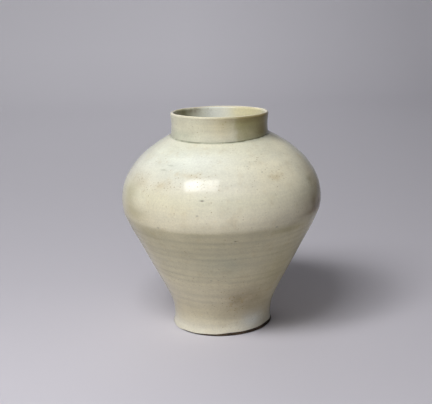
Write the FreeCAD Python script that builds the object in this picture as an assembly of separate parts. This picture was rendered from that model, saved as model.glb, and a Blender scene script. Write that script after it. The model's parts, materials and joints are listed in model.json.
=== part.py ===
"""Broad-shouldered white porcelain storage jar with a short upright collar.

The jar is built the way it was made. A lower bowl with its foot, an upper dome and a collar were
thrown apart and luted together with slip, and each carries its own coat of glaze outside and
inside, which meet at the luting lines. The foot recess is glazed as well, and the foot ring that
the jar stands on is bare.

Frame, in millimetres: +Z up, the origin on the surface that the jar stands on, under the middle
of the belly, and -Y towards the front. Every piece is a closed section in the XZ plane, turned
once round an upright axis. The bowl then leans a little under the dome, the collar is set askew
on top of it, and both are trimmed level where they meet the dome and the ground.
"""

import FreeCAD, Part
import math
import os

Vector = FreeCAD.Vector

# Driving dimensions of the glazed outside
foot_radius = 79.0
seam_radius = 153.3
collar_radius = 74.9
lower_height = 188.0
upper_height = 116.0
collar_height = 33.6
foot_flare = 2.4
foot_flare_height = 9.0
belly_bulge = 1.7

# How far the hand-made jar is out of true, the angles in degrees
bowl_lean_angle = 0.96
collar_back_angle = 3.6
collar_side_angle = 0.9
collar_offset = 0.25

# Bowl
foot_wall = 10.0
seam_wall = 7.0
floor_wall = 9.8
foot_ring_width = 13.0
foot_bevel = 1.4
recess_depth = 9.6
recess_corner = 5.0

# Dome and collar
shoulder_wall = 5.6
collar_wall = 4.2
collar_waisting = 0.8
collar_flare = 0.6
lip_height = 3.6

# Glaze
outer_glaze = 0.8
inner_glaze = 0.6
recess_glaze = 0.5
lip_glaze = 0.5
bare_foot_height = 3.0
bare_recess_height = 3.5

# Luting slip
belly_slip = 1.2
belly_chamfer_height = 6.0
belly_chamfer_width = 3.0
collar_slip = 0.8

# Stock that is trimmed away, and cutting tools, run this far past what they meet
overrun = 12.0

# The bowl's outline as (share of its height, share of the way from the waist out to the seam)
bowl_shares = (
    (0.106, 0.002),
    (0.170, 0.024),
    (0.245, 0.084),
    (0.351, 0.206),
    (0.479, 0.369),
    (0.612, 0.535),
    (0.745, 0.701),
    (0.878, 0.871),
)
# The dome's outline as (share of its height, share of the way from the collar out to the belly)
dome_shares = (
    (0.075, 0.995),
    (0.155, 1.000),
    (0.233, 0.990),
    (0.379, 0.939),
    (0.534, 0.822),
    (0.690, 0.638),
    (0.828, 0.398),
    (0.931, 0.167),
)
# The bowl's floor as (share of the way out to the wall, share of the way up to where it begins)
floor_shares = (
    (0.20, 0.00),
    (0.42, 0.01),
    (0.68, 0.10),
    (0.89, 0.40),
)
# The turn from the dome's inside into the collar's bore, between the last wall point and the top
throat_shares = (0.86, 0.52)
wall_start_share = 0.245
collar_waist_share = 0.45
crown_share = 0.5
round_share = 0.55

# Sizes that follow from them
waist_radius = foot_radius - foot_flare
belly_radius = seam_radius + belly_bulge
seam_clay_radius = seam_radius - outer_glaze
seam_cavity_radius = seam_clay_radius - seam_wall
collar_clay_radius = collar_radius - outer_glaze
bore_clay_radius = collar_clay_radius - collar_wall
bore_radius = bore_clay_radius - inner_glaze
foot_clay_radius = foot_radius - outer_glaze
recess_radius = foot_clay_radius - foot_ring_width
floor_height = recess_depth + floor_wall
total_height = lower_height + upper_height
lip_start = collar_height - lip_height
lip_radius = collar_radius + collar_flare
lip_clay_radius = lip_radius - outer_glaze
lip_clay_top = collar_height - lip_glaze


def point(radius, height):
    """A point of a section: its distance from the axis and its height."""
    return Vector(radius, 0, height)


def line(first, last):
    """A straight edge."""
    return Part.LineSegment(first, last).toShape()


def lines(*corners):
    """Straight edges from corner to corner."""
    return [line(first, last) for first, last in zip(corners, corners[1:])]


def quarter(start, corner, end):
    """A quarter round from start to end, tangent there to the lines that meet at the corner."""
    curve = Part.BezierCurve()
    leaving = start + (corner - start) * round_share
    arriving = end + (corner - end) * round_share
    curve.setPoles([start, leaving, arriving, end])
    return curve.toShape()


def smooth(points):
    """A smooth curve through the points."""
    curve = Part.BSplineCurve()
    curve.interpolate(points)
    return curve


def parameter_at(curve, height):
    """Where along a curve, which rises all the way, a height is reached."""
    low = curve.FirstParameter
    high = curve.LastParameter
    for _ in range(60):
        middle = (low + high) / 2
        if curve.value(middle).z < height:
            low = middle
        else:
            high = middle
    return (low + high) / 2


def point_at(curve, height):
    """The point of a rising curve at a height."""
    return curve.value(parameter_at(curve, height))


def between(curve, low, high):
    """The stretch of a rising curve between two heights, as an edge."""
    return curve.toShape(parameter_at(curve, low), parameter_at(curve, high))


def past_end(curve):
    """A point straight on past the end of a curve, for stock that is trimmed away."""
    return curve.EndPoint + curve.tangent(curve.LastParameter)[0] * overrun


def coat(curve, first, last):
    """A curve inside another, as a coat or a wall whose thickness changes steadily along it.

    The thickness is measured square to the curve, upright on the axis, and level at ends that are
    off the axis, so that the coats of neighbouring pieces meet exactly.
    """
    knots = curve.getKnots()
    points = []
    for knot in knots:
        along_share = (knot - knots[0]) / (knots[-1] - knots[0])
        thickness = first + along_share * (last - first)
        place = curve.value(knot)
        direction = curve.tangent(knot)[0]
        if place.x < Part.Precision.confusion():
            points.append(point(0, place.z + thickness))
        elif knot in (knots[0], knots[-1]):
            points.append(place - point(thickness, 0))
        else:
            points.append(place + point(-direction.z, direction.x) * thickness)
    return smooth(points)


def turned(edges):
    """The solid that a closed section makes when it is turned once round the axis."""
    section = Part.Face(Part.Wire(Part.__sortEdges__(edges)))
    ring = section.revolve(Vector(), Vector(0, 0, 1), 360)
    return Part.Solid(ring.Shells[0])


def kept_between(shape, low, high):
    """A piece trimmed level at two heights."""
    reach = belly_radius + overrun
    corner = Vector(-reach, -reach, low)
    return shape.common(Part.makeBox(2 * reach, 2 * reach, high - low, corner)).Solids[0]


def bowl_outline():
    """The glazed outside of the bowl, from the edge of the foot up to the seam."""
    points = [point(foot_radius, 0), point(waist_radius, foot_flare_height)]
    for up, out in bowl_shares:
        radius = waist_radius + out * (seam_radius - waist_radius)
        points.append(point(radius, up * lower_height))
    points.append(point(seam_radius, lower_height))
    return smooth(points)


def dome_outline():
    """The glazed outside of the dome, from the seam up to the collar."""
    points = [point(seam_radius, lower_height)]
    for up, out in dome_shares:
        radius = collar_radius + out * (belly_radius - collar_radius)
        points.append(point(radius, lower_height + up * upper_height))
    points.append(point(collar_radius, total_height))
    return smooth(points)


def bowl_cavity_outline():
    """The inside of the bowl's clay, from the middle of the floor out and up to the seam."""
    wall = coat(bowl_clay, foot_wall, seam_wall)
    wall_start = point_at(wall, wall_start_share * lower_height)
    points = [point(0, floor_height)]
    for out, up in floor_shares:
        rise = up * (wall_start.z - floor_height)
        points.append(point(out * wall_start.x, floor_height + rise))
    points.append(wall_start)
    for up, _ in bowl_shares:
        if up > wall_start_share:
            points.append(point_at(wall, up * lower_height))
    points.append(point(seam_cavity_radius, lower_height))
    return smooth(points)


def dome_cavity_outline():
    """The inside of the dome's clay, from the seam up to where it turns into the collar's bore."""
    wall = coat(dome_clay, seam_wall, shoulder_wall)
    points = [wall.value(knot) for knot in wall.getKnots()[:-1]]
    wall_end = points[-1]
    inward, up = throat_shares
    throat_radius = wall_end.x - inward * (wall_end.x - bore_clay_radius)
    points.append(point(throat_radius, wall_end.z + up * (total_height - wall_end.z)))
    points.append(point(bore_clay_radius, total_height))
    return smooth(points)


def collar_outline():
    """The glazed outside of the collar, from its stock below the joint up to its lip."""
    stock = point(collar_radius + collar_waisting, -overrun)
    waist = point(collar_radius - collar_waisting, collar_waist_share * collar_height)
    return smooth([stock, point(collar_radius, 0), waist, point(lip_radius, lip_start)])


# Outlines that neighbouring pieces share
bowl_glazed = bowl_outline()
bowl_clay = coat(bowl_glazed, outer_glaze, outer_glaze)
bowl_cavity = bowl_cavity_outline()
bowl_cavity_glazed = coat(bowl_cavity, inner_glaze, inner_glaze)
dome_glazed = dome_outline()
dome_clay = coat(dome_glazed, outer_glaze, outer_glaze)
dome_cavity = dome_cavity_outline()
dome_cavity_glazed = coat(dome_cavity, inner_glaze, inner_glaze)
collar_glazed = collar_outline()
collar_clay = coat(collar_glazed, outer_glaze, outer_glaze)

# Leaning the bowl moves its level rim sideways by this much, which is taken back
lean = math.radians(bowl_lean_angle)
seam_direction = bowl_glazed.tangent(bowl_glazed.LastParameter)[0]
rim_shift = seam_radius * math.tan(lean) * seam_direction.x / seam_direction.z
foot_shift = -lower_height * math.sin(lean) - rim_shift


def leaned(shape, low):
    """A piece of the bowl leaned under the dome, then trimmed level at the seam and at low."""
    moved = shape.copy()
    moved.rotate(point(0, lower_height), Vector(0, 1, 0), bowl_lean_angle)
    moved.translate(Vector(-rim_shift, 0, 0))
    return kept_between(moved, low, lower_height)


def at_foot(shape):
    """A piece or a tool turned round the foot's own upright axis."""
    moved = shape.copy()
    moved.translate(Vector(foot_shift, 0, 0))
    return moved


def set_askew(shape):
    """A piece of the collar tilted about the middle of its joint and trimmed to the dome."""
    moved = shape.copy()
    moved.rotate(Vector(), Vector(1, 0, 0), -collar_back_angle)
    moved.rotate(Vector(), Vector(0, 1, 0), collar_side_angle)
    moved.translate(Vector(collar_offset, 0, total_height))
    return kept_between(moved, total_height, total_height + collar_height + overrun)


def recess_roof(inset):
    """The recess above its bare wall, for the clay or moved in by a glaze: its edges and ends."""
    radius = recess_radius - inset
    top = recess_depth - inset
    start = point(radius, bare_recess_height)
    corner_start = point(radius, recess_depth - recess_corner)
    corner_end = point(recess_radius - recess_corner, top)
    middle = point(0, top)
    corner = quarter(corner_start, point(radius, top), corner_end)
    return [line(start, corner_start), corner, line(corner_end, middle)], start, middle


def lip(outer_radius, inner_radius, top):
    """A rounded lip: its outer half, its inner half and its crown, where they meet."""
    crown = point(inner_radius + crown_share * (outer_radius - inner_radius), top)
    outer_start = point(outer_radius, lip_start)
    inner_start = point(inner_radius, lip_start)
    outer = quarter(outer_start, point(outer_radius, top), crown)
    inner = quarter(crown, point(inner_radius, top), inner_start)
    return outer, inner, crown


def foot_tools():
    """What is turned away from the foot: the recess, and the sharp edge outside the foot ring."""
    reach = foot_bevel + overrun
    roof, roof_start, middle = recess_roof(0)
    bevel_start = point(recess_radius, foot_bevel)
    bevel_end = point(recess_radius + reach, foot_bevel - reach)
    ring = lines(roof_start, bevel_start, bevel_end, point(0, foot_bevel - reach), middle)
    recess = turned(roof + ring)
    inner = point(foot_clay_radius - reach, foot_bevel - reach)
    outer = point(foot_clay_radius + reach, foot_bevel - reach)
    edge = turned(lines(inner, outer, point(foot_clay_radius + reach, foot_bevel + reach), inner))
    return at_foot(recess), at_foot(edge)


def lower_bowl():
    """The thrown bowl with its turned foot ring, flat on its rim and on its foot."""
    foot_edge = point(foot_clay_radius, 0)
    below = point(foot_clay_radius, -overrun)
    edges = [bowl_clay.toShape(), bowl_cavity.toShape()]
    edges += lines(bowl_clay.EndPoint, past_end(bowl_clay), past_end(bowl_cavity), bowl_cavity.EndPoint)
    edges += lines(point(0, floor_height), point(0, -overrun), below, foot_edge)
    bowl = leaned(turned(edges), 0)
    for tool in foot_tools():
        bowl = bowl.cut(tool)
    return bowl.Solids[0]


def upper_dome():
    """The thrown dome, its lower rim chamfered inside to take the slip, with the mouth opened."""
    low = lower_height + belly_slip
    high = total_height - collar_slip
    chamfer_top = lower_height + belly_chamfer_height
    chamfer_start = point(seam_cavity_radius + belly_chamfer_width, low)
    edges = [between(dome_clay, low, high), between(dome_cavity, chamfer_top, high)]
    edges += lines(point_at(dome_clay, high), point_at(dome_cavity, high))
    edges += lines(point_at(dome_cavity, chamfer_top), chamfer_start, point_at(dome_clay, low))
    return turned(edges)


def belly_luting_slip():
    """The slip that joins bowl and dome, wedge-shaped where it fills the chamfer inside."""
    high = lower_height + belly_slip
    chamfer_top = lower_height + belly_chamfer_height
    chamfer_start = point(seam_cavity_radius + belly_chamfer_width, high)
    edges = [between(dome_clay, lower_height, high), between(dome_cavity, lower_height, chamfer_top)]
    edges += lines(dome_cavity.StartPoint, dome_clay.StartPoint)
    edges += lines(point_at(dome_clay, high), chamfer_start, point_at(dome_cavity, chamfer_top))
    return turned(edges)


def collar_luting_slip():
    """The thin ring of slip that joins dome and collar."""
    low = total_height - collar_slip
    edges = [between(dome_clay, low, total_height), between(dome_cavity, low, total_height)]
    edges += lines(point_at(dome_cavity, low), point_at(dome_clay, low))
    edges += lines(dome_clay.EndPoint, dome_cavity.EndPoint)
    return turned(edges)


def collar():
    """The thrown collar with its rounded lip."""
    outer_lip, inner_lip, _ = lip(lip_clay_radius, bore_clay_radius, lip_clay_top)
    bore_top = point(bore_clay_radius, lip_start)
    bore_end = point(bore_clay_radius, -overrun)
    edges = [collar_clay.toShape(), outer_lip, inner_lip]
    edges += lines(bore_top, bore_end, collar_clay.StartPoint)
    return set_askew(turned(edges))


def bowl_outer_glaze():
    """The glaze on the outside of the bowl, stopping short of the ground."""
    edges = [bowl_glazed.toShape(), bowl_clay.toShape()]
    edges += lines(bowl_glazed.EndPoint, past_end(bowl_glazed), past_end(bowl_clay), bowl_clay.EndPoint)
    edges += lines(bowl_clay.StartPoint, bowl_glazed.StartPoint)
    return leaned(turned(edges), bare_foot_height)


def dome_outer_glaze():
    """The glaze on the outside of the dome, over the edge of the slip."""
    edges = [dome_glazed.toShape(), dome_clay.toShape()]
    edges += lines(dome_glazed.EndPoint, dome_clay.EndPoint)
    edges += lines(dome_clay.StartPoint, dome_glazed.StartPoint)
    return turned(edges)


def collar_outer_glaze():
    """The glaze on the outside of the collar, up to the crown of its lip."""
    glaze_lip, _, glaze_crown = lip(lip_radius, bore_radius, collar_height)
    clay_lip, _, clay_crown = lip(lip_clay_radius, bore_clay_radius, lip_clay_top)
    edges = [collar_glazed.toShape(), glaze_lip, clay_lip, collar_clay.toShape()]
    edges += lines(glaze_crown, clay_crown)
    edges += lines(collar_clay.StartPoint, collar_glazed.StartPoint)
    return set_askew(turned(edges))


def collar_inner_glaze():
    """The glaze in the bore of the collar, from the crown of its lip down to the joint."""
    _, glaze_lip, glaze_crown = lip(lip_radius, bore_radius, collar_height)
    _, clay_lip, clay_crown = lip(lip_clay_radius, bore_clay_radius, lip_clay_top)
    glaze_top = point(bore_radius, lip_start)
    glaze_end = point(bore_radius, -overrun)
    clay_end = point(bore_clay_radius, -overrun)
    edges = [glaze_lip, clay_lip]
    edges += lines(glaze_crown, clay_crown)
    edges += lines(glaze_top, glaze_end, clay_end, point(bore_clay_radius, lip_start))
    return set_askew(turned(edges))


def bowl_inner_glaze():
    """The glaze on the floor and the wall inside the bowl."""
    glazed = bowl_cavity_glazed
    edges = [bowl_cavity.toShape(), glazed.toShape()]
    edges += lines(bowl_cavity.EndPoint, past_end(bowl_cavity), past_end(glazed), glazed.EndPoint)
    edges += lines(glazed.StartPoint, bowl_cavity.StartPoint)
    return leaned(turned(edges), 0)


def dome_inner_glaze():
    """The glaze on the inside of the dome, over the inner face of the slip."""
    edges = [dome_cavity.toShape(), dome_cavity_glazed.toShape()]
    edges += lines(dome_cavity.EndPoint, dome_cavity_glazed.EndPoint)
    edges += lines(dome_cavity_glazed.StartPoint, dome_cavity.StartPoint)
    return turned(edges)


def foot_recess_glaze():
    """The glaze under the floor and down the recess to just above the ground."""
    clay, clay_start, clay_middle = recess_roof(0)
    glaze, glaze_start, glaze_middle = recess_roof(recess_glaze)
    ends = lines(clay_start, glaze_start) + lines(glaze_middle, clay_middle)
    return at_foot(turned(clay + glaze + ends))


makers = (
    lower_bowl,
    upper_dome,
    collar,
    belly_luting_slip,
    collar_luting_slip,
    bowl_outer_glaze,
    dome_outer_glaze,
    collar_outer_glaze,
    bowl_inner_glaze,
    dome_inner_glaze,
    collar_inner_glaze,
    foot_recess_glaze,
)

os.makedirs("parts", exist_ok=True)
for make in makers:
    piece = make()
    if not piece.isValid():
        raise ValueError(make.__name__ + " is not a valid solid")
    piece.exportStep("parts/" + make.__name__ + ".step")
    print(make.__name__, round(piece.Volume), "mm3")
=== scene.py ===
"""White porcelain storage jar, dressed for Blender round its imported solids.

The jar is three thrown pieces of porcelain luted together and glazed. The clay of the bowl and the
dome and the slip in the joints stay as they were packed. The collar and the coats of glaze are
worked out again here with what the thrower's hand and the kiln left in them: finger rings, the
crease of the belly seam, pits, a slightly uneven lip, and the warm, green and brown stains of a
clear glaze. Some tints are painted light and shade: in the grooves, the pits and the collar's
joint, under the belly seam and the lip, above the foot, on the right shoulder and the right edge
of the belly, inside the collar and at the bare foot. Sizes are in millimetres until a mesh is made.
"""

import json
import logging
import math
from collections.abc import Callable
from dataclasses import dataclass, replace
from enum import Enum
from functools import partial
from typing import Any

import bpy
import numpy as np
from mathutils import Matrix, Vector

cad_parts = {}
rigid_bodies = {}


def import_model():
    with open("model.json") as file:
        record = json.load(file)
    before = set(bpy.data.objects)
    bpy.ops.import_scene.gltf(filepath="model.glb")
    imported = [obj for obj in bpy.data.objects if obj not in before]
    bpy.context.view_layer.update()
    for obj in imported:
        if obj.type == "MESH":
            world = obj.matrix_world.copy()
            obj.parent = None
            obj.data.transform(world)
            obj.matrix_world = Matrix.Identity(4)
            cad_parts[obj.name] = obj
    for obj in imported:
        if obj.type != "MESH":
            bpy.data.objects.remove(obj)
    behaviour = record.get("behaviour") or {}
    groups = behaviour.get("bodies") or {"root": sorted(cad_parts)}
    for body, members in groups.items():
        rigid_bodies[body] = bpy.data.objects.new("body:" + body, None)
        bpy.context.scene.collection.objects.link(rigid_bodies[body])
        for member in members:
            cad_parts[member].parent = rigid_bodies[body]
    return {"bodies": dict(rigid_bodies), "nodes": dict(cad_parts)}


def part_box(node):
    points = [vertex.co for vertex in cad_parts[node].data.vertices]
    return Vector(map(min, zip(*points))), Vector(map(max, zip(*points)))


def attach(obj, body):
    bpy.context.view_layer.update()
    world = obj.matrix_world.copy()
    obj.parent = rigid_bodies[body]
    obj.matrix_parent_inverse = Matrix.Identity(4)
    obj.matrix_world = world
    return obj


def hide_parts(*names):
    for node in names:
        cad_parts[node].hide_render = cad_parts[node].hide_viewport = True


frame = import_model()

Array = np.ndarray
LOG = logging.getLogger("jar")
MM = 0.001
SEED = 7
# Points round each outer coat and the collar
COLUMNS = 480

# Millimetres: the gap between a coat's hidden back and the clay, how much the coat thins at the
# bowl's lower edge, the most that its face lies in there, and the depth of rings inside
HIDDEN_GAP = 0.02
EDGE_THINNING = 0.5
DEEPEST_EDGE = 0.66
INNER_RING_DEPTH = 0.12
# Edges sharper than this many degrees stay sharp
SHARP_ANGLE = 42.0
# How often a guess at a leaning edge is bettered, which brings it within a thousandth of a mm
ROUNDS = 3


# Colour and noise


def linear(hex_colour: str) -> tuple[float, float, float, float]:
    """Turns an sRGB hex value to the linear colour that a shader takes.

    Args:
        hex_colour: a colour such as "#e1ddcb".

    Returns:
        Red, green, blue and an alpha of one.
    """
    shares = [int(hex_colour[k : k + 2], 16) / 255 for k in (1, 3, 5)]
    red, green, blue = (s / 12.92 if s <= 0.04045 else ((s + 0.055) / 1.055) ** 2.4 for s in shares)
    return red, green, blue, 1.0


def ease(value: Array, low: float, high: float) -> Array:
    """Goes smoothly from nought at low to one at high, as three squares less two cubes.

    Args:
        value: where to work it out.
        low: where it is nought, which may be above high.
        high: where it is one.

    Returns:
        The eased share at each value.
    """
    share = np.clip((value - low) / (high - low), 0.0, 1.0)
    return share * share * (3.0 - 2.0 * share)


def apart(azimuth: Array, centre: float) -> Array:
    """The signed angle from a centre to each azimuth, in degrees, the short way round."""
    return (azimuth - centre + 180.0) % 360.0 - 180.0


def rings(along: Array, azimuth: Array, pitch: float) -> Array:
    """Finger rings: the cosine, from nought to one, of a thread that climbs a pitch in each turn."""
    return 0.5 + 0.5 * np.cos(2 * np.pi * (along / pitch + azimuth / 360.0))


class Clouds:
    """Smooth random variation through space, the same on every run."""

    SIDE = 64
    OCTAVE_SHIFT = 17.3

    def __init__(self, seed: int) -> None:
        """Fills a lattice with random values from -1 to 1."""
        self.lattice = np.random.default_rng(seed).uniform(-1.0, 1.0, (self.SIDE,) * 3)

    def at(self, points: Array, size: float, octaves: int = 1) -> Array:
        """Works out the variation at points.

        The value in a cell is the mean of its eight corners, each weighted by the eased place in
        the cell, and each octave adds half as much at half the size.

        Args:
            points: places in millimetres, the last axis being x, y and z.
            size: the cell's side in millimetres.
            octaves: how many sizes are added.

        Returns:
            One value from -1 to 1 for each point.
        """
        total = np.zeros(points.shape[:-1])
        weight = 1.0
        for octave in range(octaves):
            place = points * (2.0**octave / size) + self.OCTAVE_SHIFT * (octave + 1)
            cell = np.floor(place).astype(int)
            share = place - cell
            share = share * share * (3.0 - 2.0 * share)
            for corner in np.ndindex(2, 2, 2):
                index = (cell + corner) % self.SIDE
                faces = np.where(np.array(corner) == 1, share, 1.0 - share)
                total += weight * self.lattice[tuple(np.moveaxis(index, -1, 0))] * faces.prod(-1)
            weight /= 2.0
        return total / (2.0 - 2.0 * weight)


# Sections of the jar


class Outline:
    """A smooth line through points of a section, each its distance from the axis and its height.

    Between two points both are cubics of the distance along the chords. The cubics meet with equal
    slope and bend, and the bend is nought at both ends.
    """

    STEPS = 4000

    def __init__(self, points: Array) -> None:
        """Solves the bends at the points from the three-term equations of a cubic spline.

        Args:
            points: the points, one row each.
        """
        self.points = np.asarray(points, float)
        gaps = np.linalg.norm(np.diff(self.points, axis=0), axis=1)
        self.knots = np.concatenate([[0.0], np.cumsum(gaps)])
        slopes = np.diff(self.points, axis=0) / gaps[:, None]
        count = len(self.knots)
        inner = np.arange(1, count - 1)
        terms = np.eye(count)
        terms[inner, inner - 1] = gaps[:-1] / 6.0
        terms[inner, inner] = (gaps[:-1] + gaps[1:]) / 3.0
        terms[inner, inner + 1] = gaps[1:] / 6.0
        turns = np.zeros((count, 2))
        turns[1:-1] = np.diff(slopes, axis=0)
        self.bends = np.linalg.solve(terms, turns)

    def at(self, along: Array) -> tuple[Array, Array]:
        """Places and directions on the line, which runs on straight past its ends.

        Args:
            along: distances along the chords.

        Returns:
            The places and the unit directions, with the last axis as radius and height.
        """
        kept = np.clip(along, self.knots[0], self.knots[-1])
        span = np.clip(np.searchsorted(self.knots, kept, side="right") - 1, 0, len(self.knots) - 2)
        gap = (self.knots[span + 1] - self.knots[span])[..., None]
        far = (kept - self.knots[span])[..., None] / gap
        near = 1.0 - far
        start, end = self.points[span], self.points[span + 1]
        first, last = self.bends[span], self.bends[span + 1]
        bent = ((near**3 - near) * first + (far**3 - far) * last) * gap**2 / 6.0
        slope = (end - start) / gap
        slope = slope + ((3 * far**2 - 1) * last - (3 * near**2 - 1) * first) * gap / 6.0
        direction = slope / np.linalg.norm(slope, axis=-1, keepdims=True)
        past = (np.asarray(along) - kept)[..., None]
        return near * start + far * end + bent + past * direction, direction

    def reach(self, height: Array, overrun: float = 14.0) -> Array:
        """The distance along at which a line that rises all the way reaches each height."""
        table = np.linspace(self.knots[0] - overrun, self.knots[-1] + overrun, self.STEPS)
        return np.interp(height, self.at(table)[0][:, 1], table)

    def radius_at(self, height: Array) -> Array:
        """The distance from the axis at each height of a line that rises all the way."""
        return self.at(self.reach(height))[0][..., 0]

    def coat(self, first: float, last: float) -> "Outline":
        """The line inside this one by a thickness that changes steadily along it.

        Args:
            first: the thickness at the start.
            last: the thickness at the end.

        Returns:
            The inner line, moved square to this one, upright on the axis and level at other ends.
        """
        thickness = first + self.knots / self.knots[-1] * (last - first)
        places, directions = self.at(self.knots)
        inward = np.stack([-directions[:, 1], directions[:, 0]], axis=1)
        moved = places + inward * thickness[:, None]
        for end in (0, -1):
            level = np.array([-thickness[end], 0.0])
            upright = np.array([0.0, thickness[end]])
            moved[end] = places[end] + (upright if places[end, 0] < 1e-6 else level)
        return Outline(moved)


@dataclass(frozen=True)
class JarSizes:
    """The jar's sizes in millimetres, as its solids have them; the lean angles are in degrees."""

    lower_height: float
    upper_height: float
    belly_radius: float
    foot_radius: float = 79.0
    seam_radius: float = 153.3
    collar_radius: float = 74.9
    collar_height: float = 33.6
    foot_flare: float = 2.4
    foot_flare_height: float = 9.0
    bowl_lean: float = 0.96
    collar_back: float = 3.6
    collar_side: float = 0.9
    collar_offset: float = 0.25
    foot_wall: float = 10.0
    seam_wall: float = 7.0
    floor_wall: float = 9.8
    foot_ring_width: float = 13.0
    recess_depth: float = 9.6
    recess_corner: float = 5.0
    shoulder_wall: float = 5.6
    collar_wall: float = 4.2
    collar_waisting: float = 0.8
    collar_flare: float = 0.6
    lip_height: float = 3.6
    outer_glaze: float = 0.8
    inner_glaze: float = 0.6
    recess_glaze: float = 0.5
    lip_glaze: float = 0.5
    bare_foot_height: float = 3.0
    bare_recess_height: float = 3.5

    @classmethod
    def measured(cls) -> "JarSizes":
        """Takes the heights and the belly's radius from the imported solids."""
        low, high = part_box("dome_outer_glaze")
        return cls(low.z / MM, (high.z - low.z) / MM, high.x / MM)


class Sections:
    """The section lines of the jar, worked out from its sizes as its solids were."""

    # Shares of the way up and of the way out to the widest point
    BOWL_SHARES = (
        (0.106, 0.002),
        (0.170, 0.024),
        (0.245, 0.084),
        (0.351, 0.206),
        (0.479, 0.369),
        (0.612, 0.535),
        (0.745, 0.701),
        (0.878, 0.871),
    )
    DOME_SHARES = (
        (0.075, 0.995),
        (0.155, 1.000),
        (0.233, 0.990),
        (0.379, 0.939),
        (0.534, 0.822),
        (0.690, 0.638),
        (0.828, 0.398),
        (0.931, 0.167),
    )
    # Shares of the way out and of the way up
    FLOOR_SHARES = ((0.20, 0.00), (0.42, 0.01), (0.68, 0.10), (0.89, 0.40))
    THROAT_SHARES = (0.86, 0.52)
    WALL_START_SHARE = 0.245
    WAIST_SHARE = 0.45
    ROUND_SHARE = 0.55
    # The collar as marks and stains see it, a plain tube
    COLLAR_RADIUS = 75.0
    BELOW_JOINT = -12.0

    def __init__(self, sizes: JarSizes) -> None:
        """Makes every line once.

        Args:
            sizes: the jar's sizes.
        """
        self.sizes = sizes
        self.total_height = sizes.lower_height + sizes.upper_height
        self.bore_clay_radius = sizes.collar_radius - sizes.outer_glaze - sizes.collar_wall
        self.lip_start = sizes.collar_height - sizes.lip_height
        self.bowl_glazed = self._bowl()
        self.bowl_clay = self.bowl_glazed.coat(sizes.outer_glaze, sizes.outer_glaze)
        self.bowl_cavity = self._bowl_cavity()
        self.bowl_cavity_glazed = self.bowl_cavity.coat(sizes.inner_glaze, sizes.inner_glaze)
        self.dome_glazed = self._dome()
        self.dome_clay = self.dome_glazed.coat(sizes.outer_glaze, sizes.outer_glaze)
        self.dome_cavity = self._dome_cavity()
        self.dome_cavity_glazed = self.dome_cavity.coat(sizes.inner_glaze, sizes.inner_glaze)
        self.collar_glazed = self._collar()
        self.collar_clay = self.collar_glazed.coat(sizes.outer_glaze, sizes.outer_glaze)
        self.collar_upright = Outline([(self.COLLAR_RADIUS, height) for height in (300.0, 320.0, 345.0)])
        end = self.bowl_glazed.at(self.bowl_glazed.knots[-1:])[1][0]
        self.rim_shift = sizes.seam_radius * math.tan(math.radians(sizes.bowl_lean)) * end[0] / end[1]

    def _bowl(self) -> Outline:
        """The glazed outside from the edge of the foot up to the seam.

        Returns:
            The line.
        """
        s = self.sizes
        waist = s.foot_radius - s.foot_flare
        points = [(s.foot_radius, 0.0), (waist, s.foot_flare_height)]
        reach = s.seam_radius - waist
        points += [(waist + out * reach, up * s.lower_height) for up, out in self.BOWL_SHARES]
        return Outline(points + [(s.seam_radius, s.lower_height)])

    def _bowl_cavity(self) -> Outline:
        """The inside of the bowl's clay from the middle of the floor up to the seam.

        Returns:
            The line.
        """
        s = self.sizes
        wall = self.bowl_clay.coat(s.foot_wall, s.seam_wall)
        start_height = self.WALL_START_SHARE * s.lower_height
        start_radius = float(wall.radius_at(start_height))
        floor = s.recess_depth + s.floor_wall
        points = [(0.0, floor)]
        rise = start_height - floor
        points += [(out * start_radius, floor + up * rise) for out, up in self.FLOOR_SHARES]
        heights = [start_height]
        heights += [up * s.lower_height for up, _ in self.BOWL_SHARES if up > self.WALL_START_SHARE]
        points += [(float(wall.radius_at(height)), height) for height in heights]
        return Outline(points + [(s.seam_radius - s.outer_glaze - s.seam_wall, s.lower_height)])

    def _dome(self) -> Outline:
        """The glazed outside from the seam up to the collar.

        Returns:
            The line.
        """
        s = self.sizes
        reach = s.belly_radius - s.collar_radius
        points = [(s.seam_radius, s.lower_height)]
        points += [
            (s.collar_radius + out * reach, s.lower_height + up * s.upper_height)
            for up, out in self.DOME_SHARES
        ]
        return Outline(points + [(s.collar_radius, self.total_height)])

    def _dome_cavity(self) -> Outline:
        """The inside of the dome's clay from the seam up into the collar's bore.

        Returns:
            The line.
        """
        s = self.sizes
        wall = self.dome_clay.coat(s.seam_wall, s.shoulder_wall)
        points = [tuple(place) for place in wall.points[:-1]]
        radius, height = points[-1]
        inward, up = self.THROAT_SHARES
        throat = radius - inward * (radius - self.bore_clay_radius)
        points.append((throat, height + up * (self.total_height - height)))
        return Outline(points + [(self.bore_clay_radius, self.total_height)])

    def _collar(self) -> Outline:
        """The glazed outside of the collar in its own frame, from below the joint to the lip.

        Returns:
            The line.
        """
        s = self.sizes
        points = [(s.collar_radius + s.collar_waisting, self.BELOW_JOINT), (s.collar_radius, 0.0)]
        points += [(s.collar_radius - s.collar_waisting, self.WAIST_SHARE * s.collar_height)]
        return Outline(points + [(s.collar_radius + s.collar_flare, self.lip_start)])

    def line_at(self, height: float) -> Outline:
        """The glazed outside at a height, with the collar taken as a plain upright tube.

        Args:
            height: the height on the standing jar.

        Returns:
            The line that rises past that height.
        """
        if height > self.total_height:
            return self.collar_upright
        return self.bowl_glazed if height < self.sizes.lower_height else self.dome_glazed

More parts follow.
